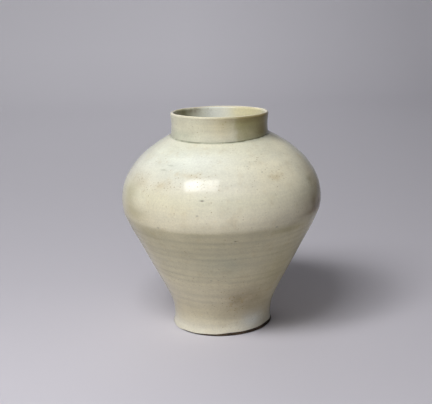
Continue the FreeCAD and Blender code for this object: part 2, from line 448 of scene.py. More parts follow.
    def round_over(self, start: Array, corner: Array, end: Array, count: int) -> Array:
        """A quarter round, the cubic of four control points whose middle two lie towards the corner.

        Args:
            start: where it starts, as radius and height.
            corner: where the lines that it joins meet.
            end: where it ends.
            count: how many points it gets.

        Returns:
            The points, one row each.
        """
        share = np.linspace(0.0, 1.0, count)[:, None]
        leaving = start + (corner - start) * self.ROUND_SHARE
        arriving = end + (corner - end) * self.ROUND_SHARE
        rest = 1.0 - share
        middle = 3 * rest**2 * share * leaving + 3 * rest * share**2 * arriving
        return rest**3 * start + middle + share**3 * end

    def lean_bowl(self, points: Array) -> Array:
        """Leans points of the bowl about the seam's middle and shifts its rim back under the dome.

        Args:
            points: points of the bowl thrown upright, the last axis being x, y and z.

        Returns:
            The points on the standing jar.
        """
        turn = math.radians(self.sizes.bowl_lean)
        x, y, up = points[..., 0], points[..., 1], points[..., 2] - self.sizes.lower_height
        moved_x = x * math.cos(turn) + up * math.sin(turn) - self.rim_shift
        moved_z = up * math.cos(turn) - x * math.sin(turn) + self.sizes.lower_height
        return np.stack([moved_x, y, moved_z], axis=-1)

    def collar_turn(self) -> Array:
        """The collar's turn, back about X and then aside about Y.

        Returns:
            The turn as a 3 by 3 array.
        """
        back = Matrix.Rotation(math.radians(-self.sizes.collar_back), 3, "X")
        aside = Matrix.Rotation(math.radians(self.sizes.collar_side), 3, "Y")
        return np.array(aside @ back)

    def set_askew(self, points: Array) -> Array:
        """Tilts points of the collar about the middle of its joint and sets them on the dome."""
        middle = np.array([self.sizes.collar_offset, 0.0, self.total_height])
        return points @ self.collar_turn().T + middle


# What the hand and the kiln left, and painted light and shade


@dataclass(frozen=True)
class Spots:
    """Points of a skin and their places on the jar: azimuth from the front in degrees, the rest in mm."""

    azimuth: Array
    radius: Array
    height: Array
    points: Array

    @classmethod
    def on(cls, azimuth: Array, radius: Array, height: Array, points: Array) -> "Spots":
        """The spots where each row of points has the same azimuths."""
        return cls(np.broadcast_to(azimuth, radius.shape), radius, height, points)


@dataclass(frozen=True)
class Mark:
    """A small place on the outside, by azimuth from the front in degrees and height in mm."""

    azimuth: float
    height: float
    width: float
    length: float

    def share(self, spots: Spots, sections: Sections) -> Array:
        """How much each spot belongs to the mark, one in the middle and falling to nought.

        It is the bell curve of the distance from the middle, counted in half widths round the jar
        and in half lengths up its side.

        Args:
            spots: where to work it out.
            sections: the jar's lines, one of which the mark lies on.

        Returns:
            The share at each spot.
        """
        around = np.radians(apart(spots.azimuth, self.azimuth)) * spots.radius
        middle = float(sections.line_at(self.height).radius_at(np.array(self.height)))
        above = spots.height - self.height
        up = np.hypot(spots.radius - middle, above) * np.sign(above)
        return np.exp(-((around * 2 / self.width) ** 2) - (up * 2 / self.length) ** 2)


class Tone(Enum):
    """Tints of the clear glaze where it pools or thins, or where ash and flame touched it; some also lay
    painted light and shade on the jar.
    """

    BODY = "#dddbc8"
    CREAM = "#f5eed3"
    BEIGE = "#dacfaa"
    OCHRE = "#b89c58"
    OLIVE = "#a0955c"
    CELADON = "#b4bba4"
    MILKY = "#dfe6de"
    TAN = "#b89a62"
    BROWN = "#80663a"
    GREEN_GREY = "#7d8268"
    IRON = "#3a3226"
    PALE = "#f0f3ec"
    UMBER = "#6a5434"
    WHEAT = "#e3dab2"


def toned(tint: Array, share: Array, tone: Tone) -> Array:
    """Blends a tone into linear colours by a share at each point."""
    return tint + share[..., None] * (np.array(linear(tone.value)[:3]) - tint)


def plain(shape: tuple[int, ...]) -> Array:
    """The body's own colour at every point of a grid."""
    return np.ones(shape + (1,)) * np.array(linear(Tone.BODY.value)[:3])


@dataclass(frozen=True)
class Stain(Mark):
    """A stain in the glaze, or a patch of painted light or shade, with its tint, how strong and how ragged
    it is.
    """

    tone: Tone
    strength: float
    ragged: float = 0.5


@dataclass(frozen=True)
class Pit(Mark):
    """A pit in the glaze, its depth in millimetres, or a blister where the depth is negative."""

    depth: float


# Azimuth, height, width, length and depth; the first seven are on the front
PITS = (
    Pit(-11.0, 235.5, 5.2, 1.9, 0.42),
    Pit(-13.6, 214.5, 2.6, 1.8, 0.22),
    Pit(7.3, 173.4, 3.4, 1.8, 0.30),
    Pit(-8.8, 101.8, 3.0, 1.7, 0.22),
    Pit(-3.3, 102.8, 2.4, 1.7, 0.18),
    Pit(28.0, 267.0, 2.4, 1.6, 0.20),
    Pit(19.0, 275.5, 2.2, 1.6, 0.16),
    Pit(70.6, 250.0, 4.0, 4.0, -0.12),
    Pit(-37.9, 190.3, 3.0, 2.0, 0.20),
    Pit(30.9, 189.0, 3.4, 2.0, 0.20),
    Pit(118.0, 226.0, 3.4, 2.2, 0.26),
    Pit(161.0, 259.0, 2.6, 1.8, 0.20),
    Pit(-142.0, 208.0, 4.2, 2.0, 0.28),
    Pit(-98.0, 150.0, 2.8, 2.0, 0.22),
    Pit(142.0, 121.0, 3.2, 2.0, 0.22),
)

FRONT_PITS = PITS[:7]

# The glaze's tint by height, partly as it thinned on the shoulder and gathered above the foot and partly
# painted shade: darker just under the belly seam and over the waist above the foot, and warmer on the
# shaded bowl than on the lit dome
GLAZE_TONE_AND_PAINTED_SHADE_BY_HEIGHT = (
    (0.0, "#ede9d5"),
    (10.0, "#ebe6d2"),
    (20.0, "#e2dbc2"),
    (32.0, "#d9d0b3"),
    (46.0, "#dcd3b5"),
    (62.0, "#e6dec1"),
    (100.0, "#e3dbbb"),
    (128.0, "#ded7b8"),
    (150.0, "#d7d0b0"),
    (185.0, "#d3ccac"),
    (192.0, "#e2dbc0"),
    (198.0, "#e5dec4"),
    (212.0, "#e4dfc9"),
    (232.0, "#dfddc7"),
    (250.0, "#dddbcc"),
    (272.0, "#dcddd0"),
    (290.0, "#d6d7c6"),
    (304.0, "#d2d1bf"),
)

# The middles of the thrower's finger grooves
RING_HEIGHTS = (27.8, 35.5, 47.5, 58.5, 71.0, 85.0, 98.0, 107.5, 119.5, 130.0, 140.5, 150.5, 160.0, 170.0)

# Azimuth, height, width, length, tone and strength; the first are on the side that the camera sees. Some
# are painted light and shade, as marked
BODY_STAINS_AND_PAINTED_LIGHT = (
    Stain(-32.0, 283.0, 95.0, 46.0, Tone.MILKY, 0.35),
    # Partly a pale tone, partly a painted sheen where the overhead lamp's faint reflection lies
    Stain(-10.0, 284.0, 80.0, 30.0, Tone.PALE, 0.48),
    # Partly a cream tone, partly painted light that brightens the right shoulder and the right side above
    # the seam
    Stain(46.0, 258.0, 160.0, 110.0, Tone.CREAM, 0.92, 0.2),
    Stain(40.0, 208.0, 190.0, 24.0, Tone.CREAM, 0.6, 0.2),
    Stain(-38.0, 228.0, 120.0, 60.0, Tone.BEIGE, 0.30),
    Stain(-21.5, 215.0, 30.0, 24.0, Tone.BEIGE, 0.30),
    Stain(28.0, 258.0, 46.0, 80.0, Tone.BEIGE, 0.12),
    Stain(-54.0, 249.0, 46.0, 20.0, Tone.OCHRE, 0.24, 1.4),
    Stain(-36.8, 252.2, 26.0, 12.0, Tone.OCHRE, 0.24, 1.4),
    Stain(-22.0, 265.8, 34.0, 8.0, Tone.OCHRE, 0.24, 1.4),
    Stain(-42.3, 269.9, 13.0, 2.6, Tone.GREEN_GREY, 0.40),
    Stain(-38.8, 276.1, 11.0, 2.6, Tone.GREEN_GREY, 0.32),
    Stain(-58.0, 204.0, 60.0, 24.0, Tone.OLIVE, 0.42, 0.3),
    Stain(-66.0, 228.0, 40.0, 52.0, Tone.OLIVE, 0.34, 0.3),
    Stain(36.2, 259.0, 20.0, 14.0, Tone.OCHRE, 0.28, 1.4),
    Stain(74.0, 240.0, 44.0, 60.0, Tone.OCHRE, 0.30, 0.5),
    Stain(76.0, 270.0, 16.0, 14.0, Tone.BEIGE, 0.55),
    Stain(65.5, 242.0, 16.0, 12.0, Tone.OLIVE, 0.32),
    Stain(70.0, 212.0, 60.0, 44.0, Tone.OLIVE, 0.52),
    # Partly brown stains, partly painted shade on the dark right edge of the belly
    Stain(78.0, 206.0, 120.0, 34.0, Tone.BROWN, 0.50, 0.8),
    Stain(73.0, 203.0, 56.0, 26.0, Tone.UMBER, 0.62, 0.8),
    Stain(60.0, 195.0, 60.0, 14.0, Tone.BROWN, 0.60),
    Stain(42.0, 180.0, 90.0, 14.0, Tone.OLIVE, 0.36),
    # Painted light on the right shoulder below the collar
    Stain(66.0, 290.0, 70.0, 30.0, Tone.CREAM, 0.70, 0.3),
    # Dirt and painted shade in the joint's corner on the right
    Stain(46.0, 302.0, 50.0, 4.0, Tone.GREEN_GREY, 0.30),
    Stain(52.0, 100.0, 110.0, 150.0, Tone.OLIVE, 0.42, 0.3),
    Stain(1.0, 131.0, 62.0, 48.0, Tone.CELADON, 0.30),
    Stain(24.0, 62.0, 70.0, 52.0, Tone.BROWN, 0.46),
    Stain(20.0, 62.0, 36.0, 20.0, Tone.BROWN, 0.30, 0.9),
    Stain(14.0, 33.0, 60.0, 22.0, Tone.BROWN, 0.10),
    Stain(35.0, 20.0, 44.0, 26.0, Tone.PALE, 0.70),
    Stain(-46.0, 176.0, 50.0, 16.0, Tone.OLIVE, 0.24),
    Stain(128.0, 246.0, 74.0, 50.0, Tone.OLIVE, 0.38),
    Stain(164.0, 220.0, 90.0, 70.0, Tone.BEIGE, 0.36),
    Stain(-158.0, 140.0, 90.0, 60.0, Tone.CELADON, 0.36),
    Stain(-118.0, 214.0, 60.0, 40.0, Tone.TAN, 0.34),
    Stain(-150.0, 276.0, 80.0, 40.0, Tone.MILKY, 0.45),
    Stain(-172.0, 74.0, 48.0, 28.0, Tone.BROWN, 0.26),
    Stain(-128.0, 252.0, 12.0, 9.0, Tone.OCHRE, 0.36, 0.9),
    Stain(148.0, 268.0, 9.0, 7.0, Tone.OCHRE, 0.36, 0.9),
    Stain(112.0, 96.0, 30.0, 20.0, Tone.BROWN, 0.24),
)

# Where freckles crowd: azimuth, height, width and length
SPECKLED = (
    Mark(-52.0, 250.0, 62.0, 26.0),
    Mark(-34.0, 252.0, 46.0, 20.0),
    Mark(-20.0, 266.0, 44.0, 12.0),
    Mark(36.0, 259.0, 24.0, 18.0),
    Mark(12.0, 60.0, 60.0, 34.0),
    Mark(150.0, 262.0, 60.0, 24.0),
    Mark(-126.0, 250.0, 70.0, 26.0),
)

# Heights on the collar are along its own axis, counted on from the dome's top
COLLAR_STAINS_AND_PAINTED_SHADE = (
    Stain(-40.0, 324.0, 110.0, 40.0, Tone.OLIVE, 0.24, 0.3),
    Stain(2.0, 322.0, 40.0, 34.0, Tone.OCHRE, 0.34, 0.3),
    Stain(34.0, 330.0, 90.0, 22.0, Tone.OLIVE, 0.60, 0.3),
    Stain(49.0, 320.0, 72.0, 80.0, Tone.OLIVE, 0.50, 0.3),
    Stain(30.0, 316.0, 18.0, 60.0, Tone.GREEN_GREY, 0.26, 0.5),
    Stain(60.0, 316.0, 26.0, 40.0, Tone.BROWN, 0.55),
    # Painted shade under the lip at the front
    Stain(24.0, 331.0, 60.0, 5.0, Tone.BROWN, 0.40, 0.9),
    Stain(57.0, 336.6, 16.0, 4.0, Tone.IRON, 0.60),
    Stain(128.0, 318.0, 60.0, 40.0, Tone.OLIVE, 0.35),
    Stain(-150.0, 322.0, 50.0, 30.0, Tone.OCHRE, 0.30),
    Stain(-60.0, 308.0, 80.0, 12.0, Tone.CELADON, 0.35),
)

# Inside the collar: painted light in wheat on the right, a painted reflection in pale at the back, painted
# shade in olive and green-grey on the left, and a small brown stain
BORE_PAINTED_LIGHT_AND_STAINS = (
    Stain(178.0, 325.0, 90.0, 80.0, Tone.PALE, 0.95, 0.2),
    Stain(132.0, 325.0, 86.0, 90.0, Tone.WHEAT, 0.95),
    Stain(146.0, 325.0, 52.0, 90.0, Tone.WHEAT, 0.85),
    Stain(-138.0, 328.0, 52.0, 40.0, Tone.GREEN_GREY, 0.60, 1.6),
    Stain(-146.0, 331.0, 22.0, 10.0, Tone.BROWN, 0.50, 1.6),
    Stain(-112.0, 325.0, 50.0, 60.0, Tone.OLIVE, 0.60, 0.3),
)


@dataclass(frozen=True)
class Hand:
    """How far the glazed outside lies in from its smooth outline, in millimetres, never out."""

    sections: Sections
    clouds: Clouds
    finger_depth: float = 0.24
    finger_half_width: float = 2.1
    ripple_pitch: float = 6.1
    ripple_depth: float = 0.02
    ripple_depth_at_right: float = 0.09
    seam_depth: float = 0.24
    seam_half_width: float = 3.6
    deepest: float = 0.62
    collar_ring_pitch: float = 7.3
    collar_ring_depth: float = 0.035
    collar_deepest: float = 0.4
    chip_azimuth: float = 57.0
    chip_depth: float = 0.8

    def wander(self, spots: Spots) -> Array:
        """How far the level lines that fingers leave wander up and down round the jar."""
        return 1.4 * self.clouds.at(spots.points, 55.0) + 1.2 * np.sin(np.radians(spots.azimuth + 40.0))

    def grooves(self, spots: Spots) -> Array:
        """How deep the fingers pressed below the seam, from nought to about 0.3 millimetres.

        It is a row of bell curves at uneven heights, which wander round the jar and come and go.

        Args:
            spots: where to work it out.

        Returns:
            The depth of the grooves at each spot.
        """
        height = spots.height + self.wander(spots)
        fading = 0.62 + 0.38 * self.clouds.at(spots.points + 300.0, 60.0)
        left = 0.75 + 0.25 * np.cos(np.radians(spots.azimuth + 45.0))
        total = np.zeros_like(spots.height)
        for number, place in enumerate(RING_HEIGHTS):
            width = self.finger_half_width + 0.5 * math.sin(2.4 * number)
            weight = 1.0 + 0.3 * math.cos(1.9 * number)
            total = total + weight * np.exp(-(((height - place) / width) ** 2))
        return self.finger_depth * total * fading * left * (0.1 + 0.9 * ease(spots.height, 26.0, 62.0))

    def depth(self, spots: Spots) -> Array:
        """The depth of the outside of the bowl and the dome.

        It adds slow unevenness, the finger grooves under the seam, fainter ripples on the dome, the
        crease of the seam, which is a parabola on either side, and pits. All but the pits fade out
        at the collar's joint, so that the coats still meet there.

        Args:
            spots: where to work it out.

        Returns:
            The depth at each spot, from nought to the deepest.
        """
        seam, top = self.sections.sizes.lower_height, self.sections.total_height
        points, height = spots.points, spots.height
        total = 0.14 + 0.09 * self.clouds.at(points, 70.0) + 0.03 * self.clouds.at(points, 24.0)
        total = total + self.grooves(spots)
        ripple = rings(height + self.wander(spots), spots.azimuth, self.ripple_pitch)
        right = np.exp(-((apart(spots.azimuth, 44.0) / 22.0) ** 2) - ((height - 228.0) / 20.0) ** 2)
        rippled = self.ripple_depth + self.ripple_depth_at_right * right
        total = total + rippled * ripple * ease(height, seam, seam + 10.0)
        away = np.abs(height - seam + 0.8 * self.clouds.at(points + 90.0, 40.0))
        crease = np.maximum(self.seam_half_width - away, 0.0) / self.seam_half_width
        total = (total + self.seam_depth * crease**2) * ease(height, top, top - 4.0)
        for pit in PITS:
            share = pit.share(spots, self.sections)
            total = total + pit.depth * share**1.6
        return np.clip(total, 0.0, self.deepest)

    def collar_depth(self, spots: Spots) -> Array:
        """The depth of the collar's outside: faint rings and slow unevenness, none at its ends.

        Args:
            spots: where to work it out, with heights in the collar's own frame.

        Returns:
            The depth at each spot.
        """
        faint = self.collar_ring_depth * rings(spots.height, spots.azimuth, self.collar_ring_pitch)
        slow = 0.10 + 0.09 * self.clouds.at(spots.points, 34.0)
        lip = self.sections.lip_start
        ends = ease(spots.height, 0.0, 3.0) * ease(spots.height, lip + 3.0, lip)
        return np.clip(slow + faint, 0.0, self.collar_deepest) * ends

    def lip_drop(self, azimuth: Array) -> Array:
        """How far the lip dips below its level: slow waves and one shallow chip.

        Args:
            azimuth: the azimuths.

        Returns:
            The dip at each azimuth.
        """
        turn = np.radians(azimuth)
        waves = 0.28 + 0.14 * np.sin(2 * turn + 0.7) + 0.08 * np.sin(5 * turn + 2.1)
        waves = waves + 0.06 * np.sin(9 * turn)
        return waves + self.chip_depth * np.exp(-((apart(azimuth, self.chip_azimuth) / 7.0) ** 2))


@dataclass(frozen=True)
class Firing:
    """The tint of the glaze over the jar, in linear colours."""

    sections: Sections
    clouds: Clouds
    hand: Hand

    def stained(self, tint: Array, stains: tuple[Stain, ...], spots: Spots) -> Array:
        """Lays stains and patches of painted light and shade over a tint, each blended by its share and
        broken up by noise.

        Args:
            tint: the colours so far.
            stains: what to lay over them.
            spots: where they are.

        Returns:
            The stained colours.
        """
        broad = self.clouds.at(spots.points, 22.0, 2)
        fine = self.clouds.at(spots.points + 500.0, 5.0, 2)
        for stain in stains:
            share = stain.share(spots, self.sections)
            rough = broad if stain.width > 24.0 else fine
            share = np.clip(share * (1.0 + stain.ragged * rough), 0.0, 1.0) * stain.strength
            tint = toned(tint, share, stain.tone)
        return tint

    def streaks(
        self, spots: Spots, around: float, up: float, size: float, strength: float, shift: float = 0.0
    ) -> Array:
        """Factors for streaks: noise over azimuth and height, each scaled by a factor of its own.

        Args:
            spots: where to work it out.
            around: the factor on the azimuth.
            up: the factor on the height.
            size: the noise's cell.
            strength: how far the factors go from one.
            shift: where in the noise the streaks start.

        Returns:
            What to multiply the colours by.
        """
        place = np.stack([spots.azimuth * around, spots.height * up, spots.radius * 0.0], axis=-1)
        return (1.0 + strength * self.clouds.at(place + shift, size, 3))[..., None]

    def body_tint(self, spots: Spots) -> Array:
        """The tint of the outside of the bowl and the dome.

        It goes by height, partly as the glaze ran down and pooled and partly as painted shade under the
        belly seam and above the foot, wanders a little, and gets its warm clouds, stains and patches of
        painted light and shade, painted shade in the finger grooves, thin level streaks, ochre blotches,
        the green line at the collar's joint, partly painted shade in that corner, and dirt and painted
        shade in the pits.

        Args:
            spots: where to work it out.

        Returns:
            The colours, and how much the freckles crowd there as a fourth channel.
        """
        points, top = spots.points, self.sections.total_height
        places = np.array([place for place, _ in GLAZE_TONE_AND_PAINTED_SHADE_BY_HEIGHT])
        colours = np.array([linear(colour)[:3] for _, colour in GLAZE_TONE_AND_PAINTED_SHADE_BY_HEIGHT])
        wander = spots.height + 1.6 * self.clouds.at(points, 30.0, 2)
        tint = np.stack([np.interp(wander, places, colours[:, k]) for k in range(3)], axis=-1)
        tint = toned(tint, 0.16 * (0.5 + 0.5 * self.clouds.at(points, 60.0, 2)), Tone.BEIGE)
        tint = self.stained(tint, BODY_STAINS_AND_PAINTED_LIGHT, spots)
        # Painted shade: the colour darkens with the depth of the finger grooves
        tint = tint * (1.0 - 0.46 * self.hand.grooves(spots))[..., None]
        tint = tint * self.streaks(spots, 0.25, 1.6, 7.0, 0.08)
        crowd = self.crowding(spots)
        blotch = ease(self.clouds.at(points + 700.0, 9.0, 3), 0.05, 0.7)
        tint = toned(tint, blotch * (0.12 + 0.26 * crowd), Tone.OCHRE)
        # The green line at the joint is pooled glaze and painted shade in the corner under the collar
        joint = ease(spots.height, top - 2.0, top - 0.5) * (0.6 + 0.35 * self.clouds.at(points, 6.0))
        tint = toned(tint, joint, Tone.GREEN_GREY)
        # The pits darken with their depth: dirt and painted shade in the hollow
        for pit in PITS:
            share = pit.share(spots, self.sections)
            tint = toned(tint, np.clip(2.6 * pit.depth, 0.0, 0.95) * share, Tone.IRON)
        return np.concatenate([tint, crowd[..., None]], axis=-1)

    def crowding(self, spots: Spots) -> Array:
        """How much the freckles crowd at each spot, from nought to one.

        Args:
            spots: where to work it out.

        Returns:
            The largest share of any speckled place.
        """
        return np.max([mark.share(spots, self.sections) for mark in SPECKLED], axis=0)

    def collar_tint(self, spots: Spots) -> Array:
        """The tint of the collar's outside: greener where glaze pooled, pale along the lip, with painted
        shade at the joint and under the lip, darker on the right.

        The stains, the streaks and the lip go by the height in the collar's own tilted frame, and
        what follows the joint goes by the height on the standing jar.

        Args:
            spots: where to work it out.

        Returns:
            The colours.
        """
        points, azimuth, top = spots.points, spots.azimuth, self.sections.total_height
        own = top + ((points - np.array([0.0, 0.0, top])) @ self.sections.collar_turn())[..., 2]
        tilted = replace(spots, height=own)
        tint = self.stained(plain(azimuth.shape), COLLAR_STAINS_AND_PAINTED_SHADE, tilted)
        wavy = azimuth + 3.0 * self.clouds.at(points + 800.0, 8.0, 2)
        tint = toned(tint, 0.42 * ease(wavy, 16.0, 22.0) * ease(wavy, 84.0, 68.0), Tone.OLIVE)
        tint = tint * self.streaks(tilted, 0.2, 1.5, 7.0, 0.09)
        tint = tint * self.streaks(tilted, 1.3, 0.2, 9.0, 0.06, 60.0)
        tint = toned(tint, 0.16 * ease(spots.height, top + 7.0, top + 1.5), Tone.CELADON)
        # right grows towards the jar's right side, away from the main softbox; the painted shade at the
        # joint and under the lip is darker there
        right = np.sin(np.radians(azimuth - 10.0))
        # Pooled glaze and painted shade in the corner of the joint
        joint_shade = ease(spots.height, top + 1.0, top + 0.2) * (0.65 + 0.35 * right)
        joint_shade = joint_shade * (0.85 + 0.4 * self.clouds.at(points, 6.0))
        tint = toned(tint, np.clip(joint_shade, 0.0, 1.0), Tone.IRON)
        # Painted shade under the lip, in brown
        tint = toned(tint, ease(own, top + 27.1, top + 30.1) * (0.28 + 0.20 * right), Tone.BROWN)
        worn = 1.0 - 0.9 * np.exp(-((apart(azimuth, 58.0) / 9.0) ** 2))
        return toned(tint, 0.95 * ease(own, top + 32.4, top + 33.3) * worn, Tone.CREAM)

    def bore_tint(self, spots: Spots) -> Array:
        """The tint inside the collar: painted light on the right, a painted reflection at the back and
        painted shade on the left. It turns into the outside's on the crown of the lip.

        Args:
            spots: where to work it out.

        Returns:
            The colours.
        """
        bore = replace(spots, radius=np.full_like(spots.radius, self.sections.COLLAR_RADIUS))
        inside = self.stained(plain(spots.azimuth.shape), BORE_PAINTED_LIGHT_AND_STAINS, bore)
        crown = ease(spots.radius, 71.4, 72.4)[..., None]
        return inside + crown * (self.collar_tint(spots) - inside)


# Meshes


def spread(count: int, low: float, high: float, thick: tuple[tuple[float, float, float], ...]) -> Array:
    """Places along a range, closer together round some centres.

    The density is one plus a bell curve round each centre, and the places divide its running sum
    into equal parts.

    Args:
        count: how many places.
        low: the first place.
        high: the last place.
        thick: centre, half width and added density for each closer stretch.

    Returns:
        The places, rising.
    """
    fine = np.linspace(low, high, 8000)
    density = np.ones_like(fine)
    for centre, width, more in thick:
        density += more * np.exp(-(((fine - centre) / width) ** 2))
    total = np.concatenate([[0.0], np.cumsum((density[1:] + density[:-1]) / 2)])
    return np.interp(np.linspace(0.0, total[-1], count), total, fine)


def swing(azimuth: Array, radius: Array, height: Array) -> Array:
    """Points at azimuths from the front, radius times their sine in X and less their cosine in Y.

    Args:
        azimuth: degrees from the front.
        radius: distances from the axis.
        height: the heights.

    Returns:
        The points, with x, y and z on a last axis.
    """
    turn = np.radians(azimuth)
    radius, turn, height = np.broadcast_arrays(radius, turn, height)
    return np.stack([radius * np.sin(turn), -radius * np.cos(turn), height], axis=-1)


@dataclass(frozen=True)
class Role:
    """What a piece stands for: its name, the solid that it replaces, its slot and its finish."""

    name: str
    node: str
    slot: str
    finish: bpy.types.Material


def shell(role: Role, rows: Array, tints: Array, body: str) -> bpy.types.Object:
    """Makes a closed skin from rows that run once round a section and once round the jar.

    Each row is a ring of points, each ring joins the next, and the last joins the first. Where the
    first and the last ring lie on the axis, each becomes one point with a fan of triangles.

    Args:
        role: what the piece stands for.
        rows: points in millimetres, by place in the section and by azimuth.
        tints: the linear colour of each point, and where it has freckles a fourth channel.
        body: the body that it rides on.

    Returns:
        The piece.
    """
    count, around = rows.shape[:2]
    domed = bool(np.ptp(rows[0], axis=0).max() < 1e-6)
    column = np.arange(around)
    after = (column + 1) % around
    last = count - 1 if domed else count
    row = np.arange(1, count - 2) if domed else np.arange(last)
    under = (row % count)[:, None] * around
    over = ((row + 1) % count)[:, None] * around
    quads = np.stack([under + column, under + after, over + after, over + column], axis=-1).reshape(-1, 4)
    fans = np.zeros((0, 3), int)
    if domed:
        first = np.stack([np.zeros(around, int), around + after, around + column], axis=-1)
        high = (count - 2) * around
        final = np.stack([high + column, high + after, np.full(around, last * around)], axis=-1)
        fans = np.concatenate([first, final])
    points = rows.reshape(-1, 3) * MM
    colours = np.zeros((points.shape[0], 4))
    colours[:, : tints.shape[-1]] = tints.reshape(points.shape[0], -1)
    used = np.unique(np.concatenate([quads.ravel(), fans.ravel()]))
    renumbered = np.zeros(points.shape[0], int)
    renumbered[used] = np.arange(used.size)
    quads, fans = renumbered[quads], renumbered[fans]
    mesh = bpy.data.meshes.new(role.name)
    mesh.vertices.add(used.size)
    mesh.vertices.foreach_set("co", points[used].astype(np.float32).ravel())
    mesh.loops.add(quads.size + fans.size)
    corners = np.concatenate([quads.ravel(), fans.ravel()])
    mesh.loops.foreach_set("vertex_index", corners.astype(np.int32))
    mesh.polygons.add(len(quads) + len(fans))
    starts = np.concatenate([np.arange(len(quads)) * 4, quads.size + np.arange(len(fans)) * 3])
    mesh.polygons.foreach_set("loop_start", starts.astype(np.int32))
    mesh.update(calc_edges=True)
    mesh.polygons.foreach_set("use_smooth", np.ones(len(mesh.polygons), bool))
    mesh.set_sharp_from_angle(angle=math.radians(SHARP_ANGLE))
    layer = mesh.attributes.new("glaze_tint", "FLOAT_COLOR", "POINT")
    layer.data.foreach_set("color", colours[used].astype(np.float32).ravel())
    mesh.validate()
    mesh.materials.append(role.finish)
    piece = bpy.data.objects.new(role.name, mesh)
    bpy.context.scene.collection.objects.link(piece)
    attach(piece, body)
    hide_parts(role.node)
    return piece


# Finishes


def add_node(
    tree: bpy.types.NodeTree,
    kind: str,
    links: dict[Any, bpy.types.Node | bpy.types.NodeSocket] | None = None,
    values: dict[Any, Any] | None = None,
    **settings: Any,
) -> bpy.types.Node:
    """Adds a node with its settings, its socket values and its incoming links.

    Args:
        tree: the material's or the world's tree.
        kind: the node's type.
        links: the source of each input, a socket or the node whose first output in use it is.
        values: the value of each other input that isn't left as it is.
        **settings: the node's own properties.

    Returns:
        The node.
    """
    node = tree.nodes.new(kind)
    for name, value in settings.items():
        setattr(node, name, value)
    for name, value in (values or {}).items():
        node.inputs[name].default_value = value
    for name, source in (links or {}).items():
        if isinstance(source, bpy.types.Node):
            source = next(output for output in source.outputs if output.enabled)
        tree.links.new(source, node.inputs[name])
    return node


def start_material(name: str) -> tuple[bpy.types.Material, Callable[..., bpy.types.Node]]:
    """A new material with an empty tree, and add_node for that tree.

    Args:
        name: the finish's name.

    Returns:
        The material, and add_node with the tree already given.
    """
    material = bpy.data.materials.new(name)
    material.use_nodes = True
    material.node_tree.nodes.clear()
    return material, partial(add_node, material.node_tree)


# The inputs that loops fill in, of noise and of a map from one range to another
NOISE = ("Scale", "Detail", "Roughness")
RANGE = ("From Min", "From Max", "To Min", "To Max")


def per_metre(size: float) -> float:
    """The scale at which a pattern on Object coordinates repeats about every size in mm."""
    return 1.0 / (size * MM)


@dataclass(frozen=True)
class ClearGlaze:
    """Clear feldspar and ash glaze, poured over white clay and wood-fired to a glassy coat.

    It gives a wet, slightly wavy gloss over a warm white that drifts in clouds, with tiny iron
    freckles from the clay and pinholes where gas left it.
    """

    name: str
    roughness: float = 0.07
    roughness_drift: float = 0.05
    # Low for a glaze, so that the belly's edge and the softbox shine no more than the real ones
    ior: float = 1.28
    # Millimetres, as on the real jar: the clouds of tone, and the ash mottle within them
    cloud: float = 26.0
    mottle: float = 2.6
    # Real iron freckles are under half a millimetre wide; these are about 1.5 mm, so that they show
    freckle_cell: float = 3.8
    freckle_colour: str = "#957d42"
    # Millimetres between places where freckles crowd
    crowd: float = 30.0
    # The wavy skin of a glaze that flowed, its pitch and its depth in millimetres
    peel: float = 4.0
    peel_depth: float = 0.065

    def material(self) -> bpy.types.Material:
        """Builds the glaze.

        Returns:
            The material, which reads the glaze_tint colour of the mesh that wears it.
        """
        material, add = start_material(self.name)
        place = add("ShaderNodeTexCoord").outputs["Object"]
        tint = add("ShaderNodeAttribute", attribute_name="glaze_tint")
        clouds, mottle, crowding, peel = (
            add("ShaderNodeTexNoise", {"Vector": place}, dict(zip(NOISE, values)))
            for values in (
                (per_metre(self.cloud), 3.0, 0.55),
                (per_metre(self.mottle), 2.0, 0.6),
                (per_metre(self.crowd), 2.0),
                (per_metre(self.peel), 1.0),
            )
        )
        cells = add("ShaderNodeTexVoronoi", {"Vector": place}, {"Scale": per_metre(self.freckle_cell)})
        chance = add(
            "ShaderNodeMath", {0: tint.outputs["Alpha"], 2: crowding}, {1: 0.7}, operation="MULTIPLY_ADD"
        )
        luck = add("ShaderNodeMath", {0: cells.outputs["Color"], 1: chance}, operation="MULTIPLY")
        drift, grain, gloss, near, chosen = (
            add("ShaderNodeMapRange", {"Value": source}, dict(zip(RANGE, ends)))
            for source, ends in (
                (clouds, (0.25, 0.75, 0.95, 1.05)),
                (mottle, (0.25, 0.75, 0.93, 1.07)),
                (clouds, (0.3, 0.7, self.roughness, self.roughness + self.roughness_drift)),
                (cells, (0.12, 0.34, 1.0, 0.0)),
                (luck, (0.32, 0.60, 0.0, 0.64)),
            )
        )
        level = add("ShaderNodeMath", {0: drift, 1: grain}, operation="MULTIPLY")
        shaded = add("ShaderNodeVectorMath", {0: tint, "Scale": level}, operation="SCALE")
        freckle = add("ShaderNodeMath", {0: near, 1: chosen}, operation="MULTIPLY")
        colour = add(
            "ShaderNodeMix", {0: freckle, 6: shaded}, {7: linear(self.freckle_colour)}, data_type="RGBA"
        )
        waves = add("ShaderNodeBump", {"Height": peel}, {"Strength": 1.0, "Distance": self.peel_depth * MM})
        surface = add(
            "ShaderNodeBsdfPrincipled", {"Base Color": colour, "Roughness": gloss, "Normal": waves},
            {"IOR": self.ior}
        )
        add("ShaderNodeOutputMaterial", {"Surface": surface})
        return material


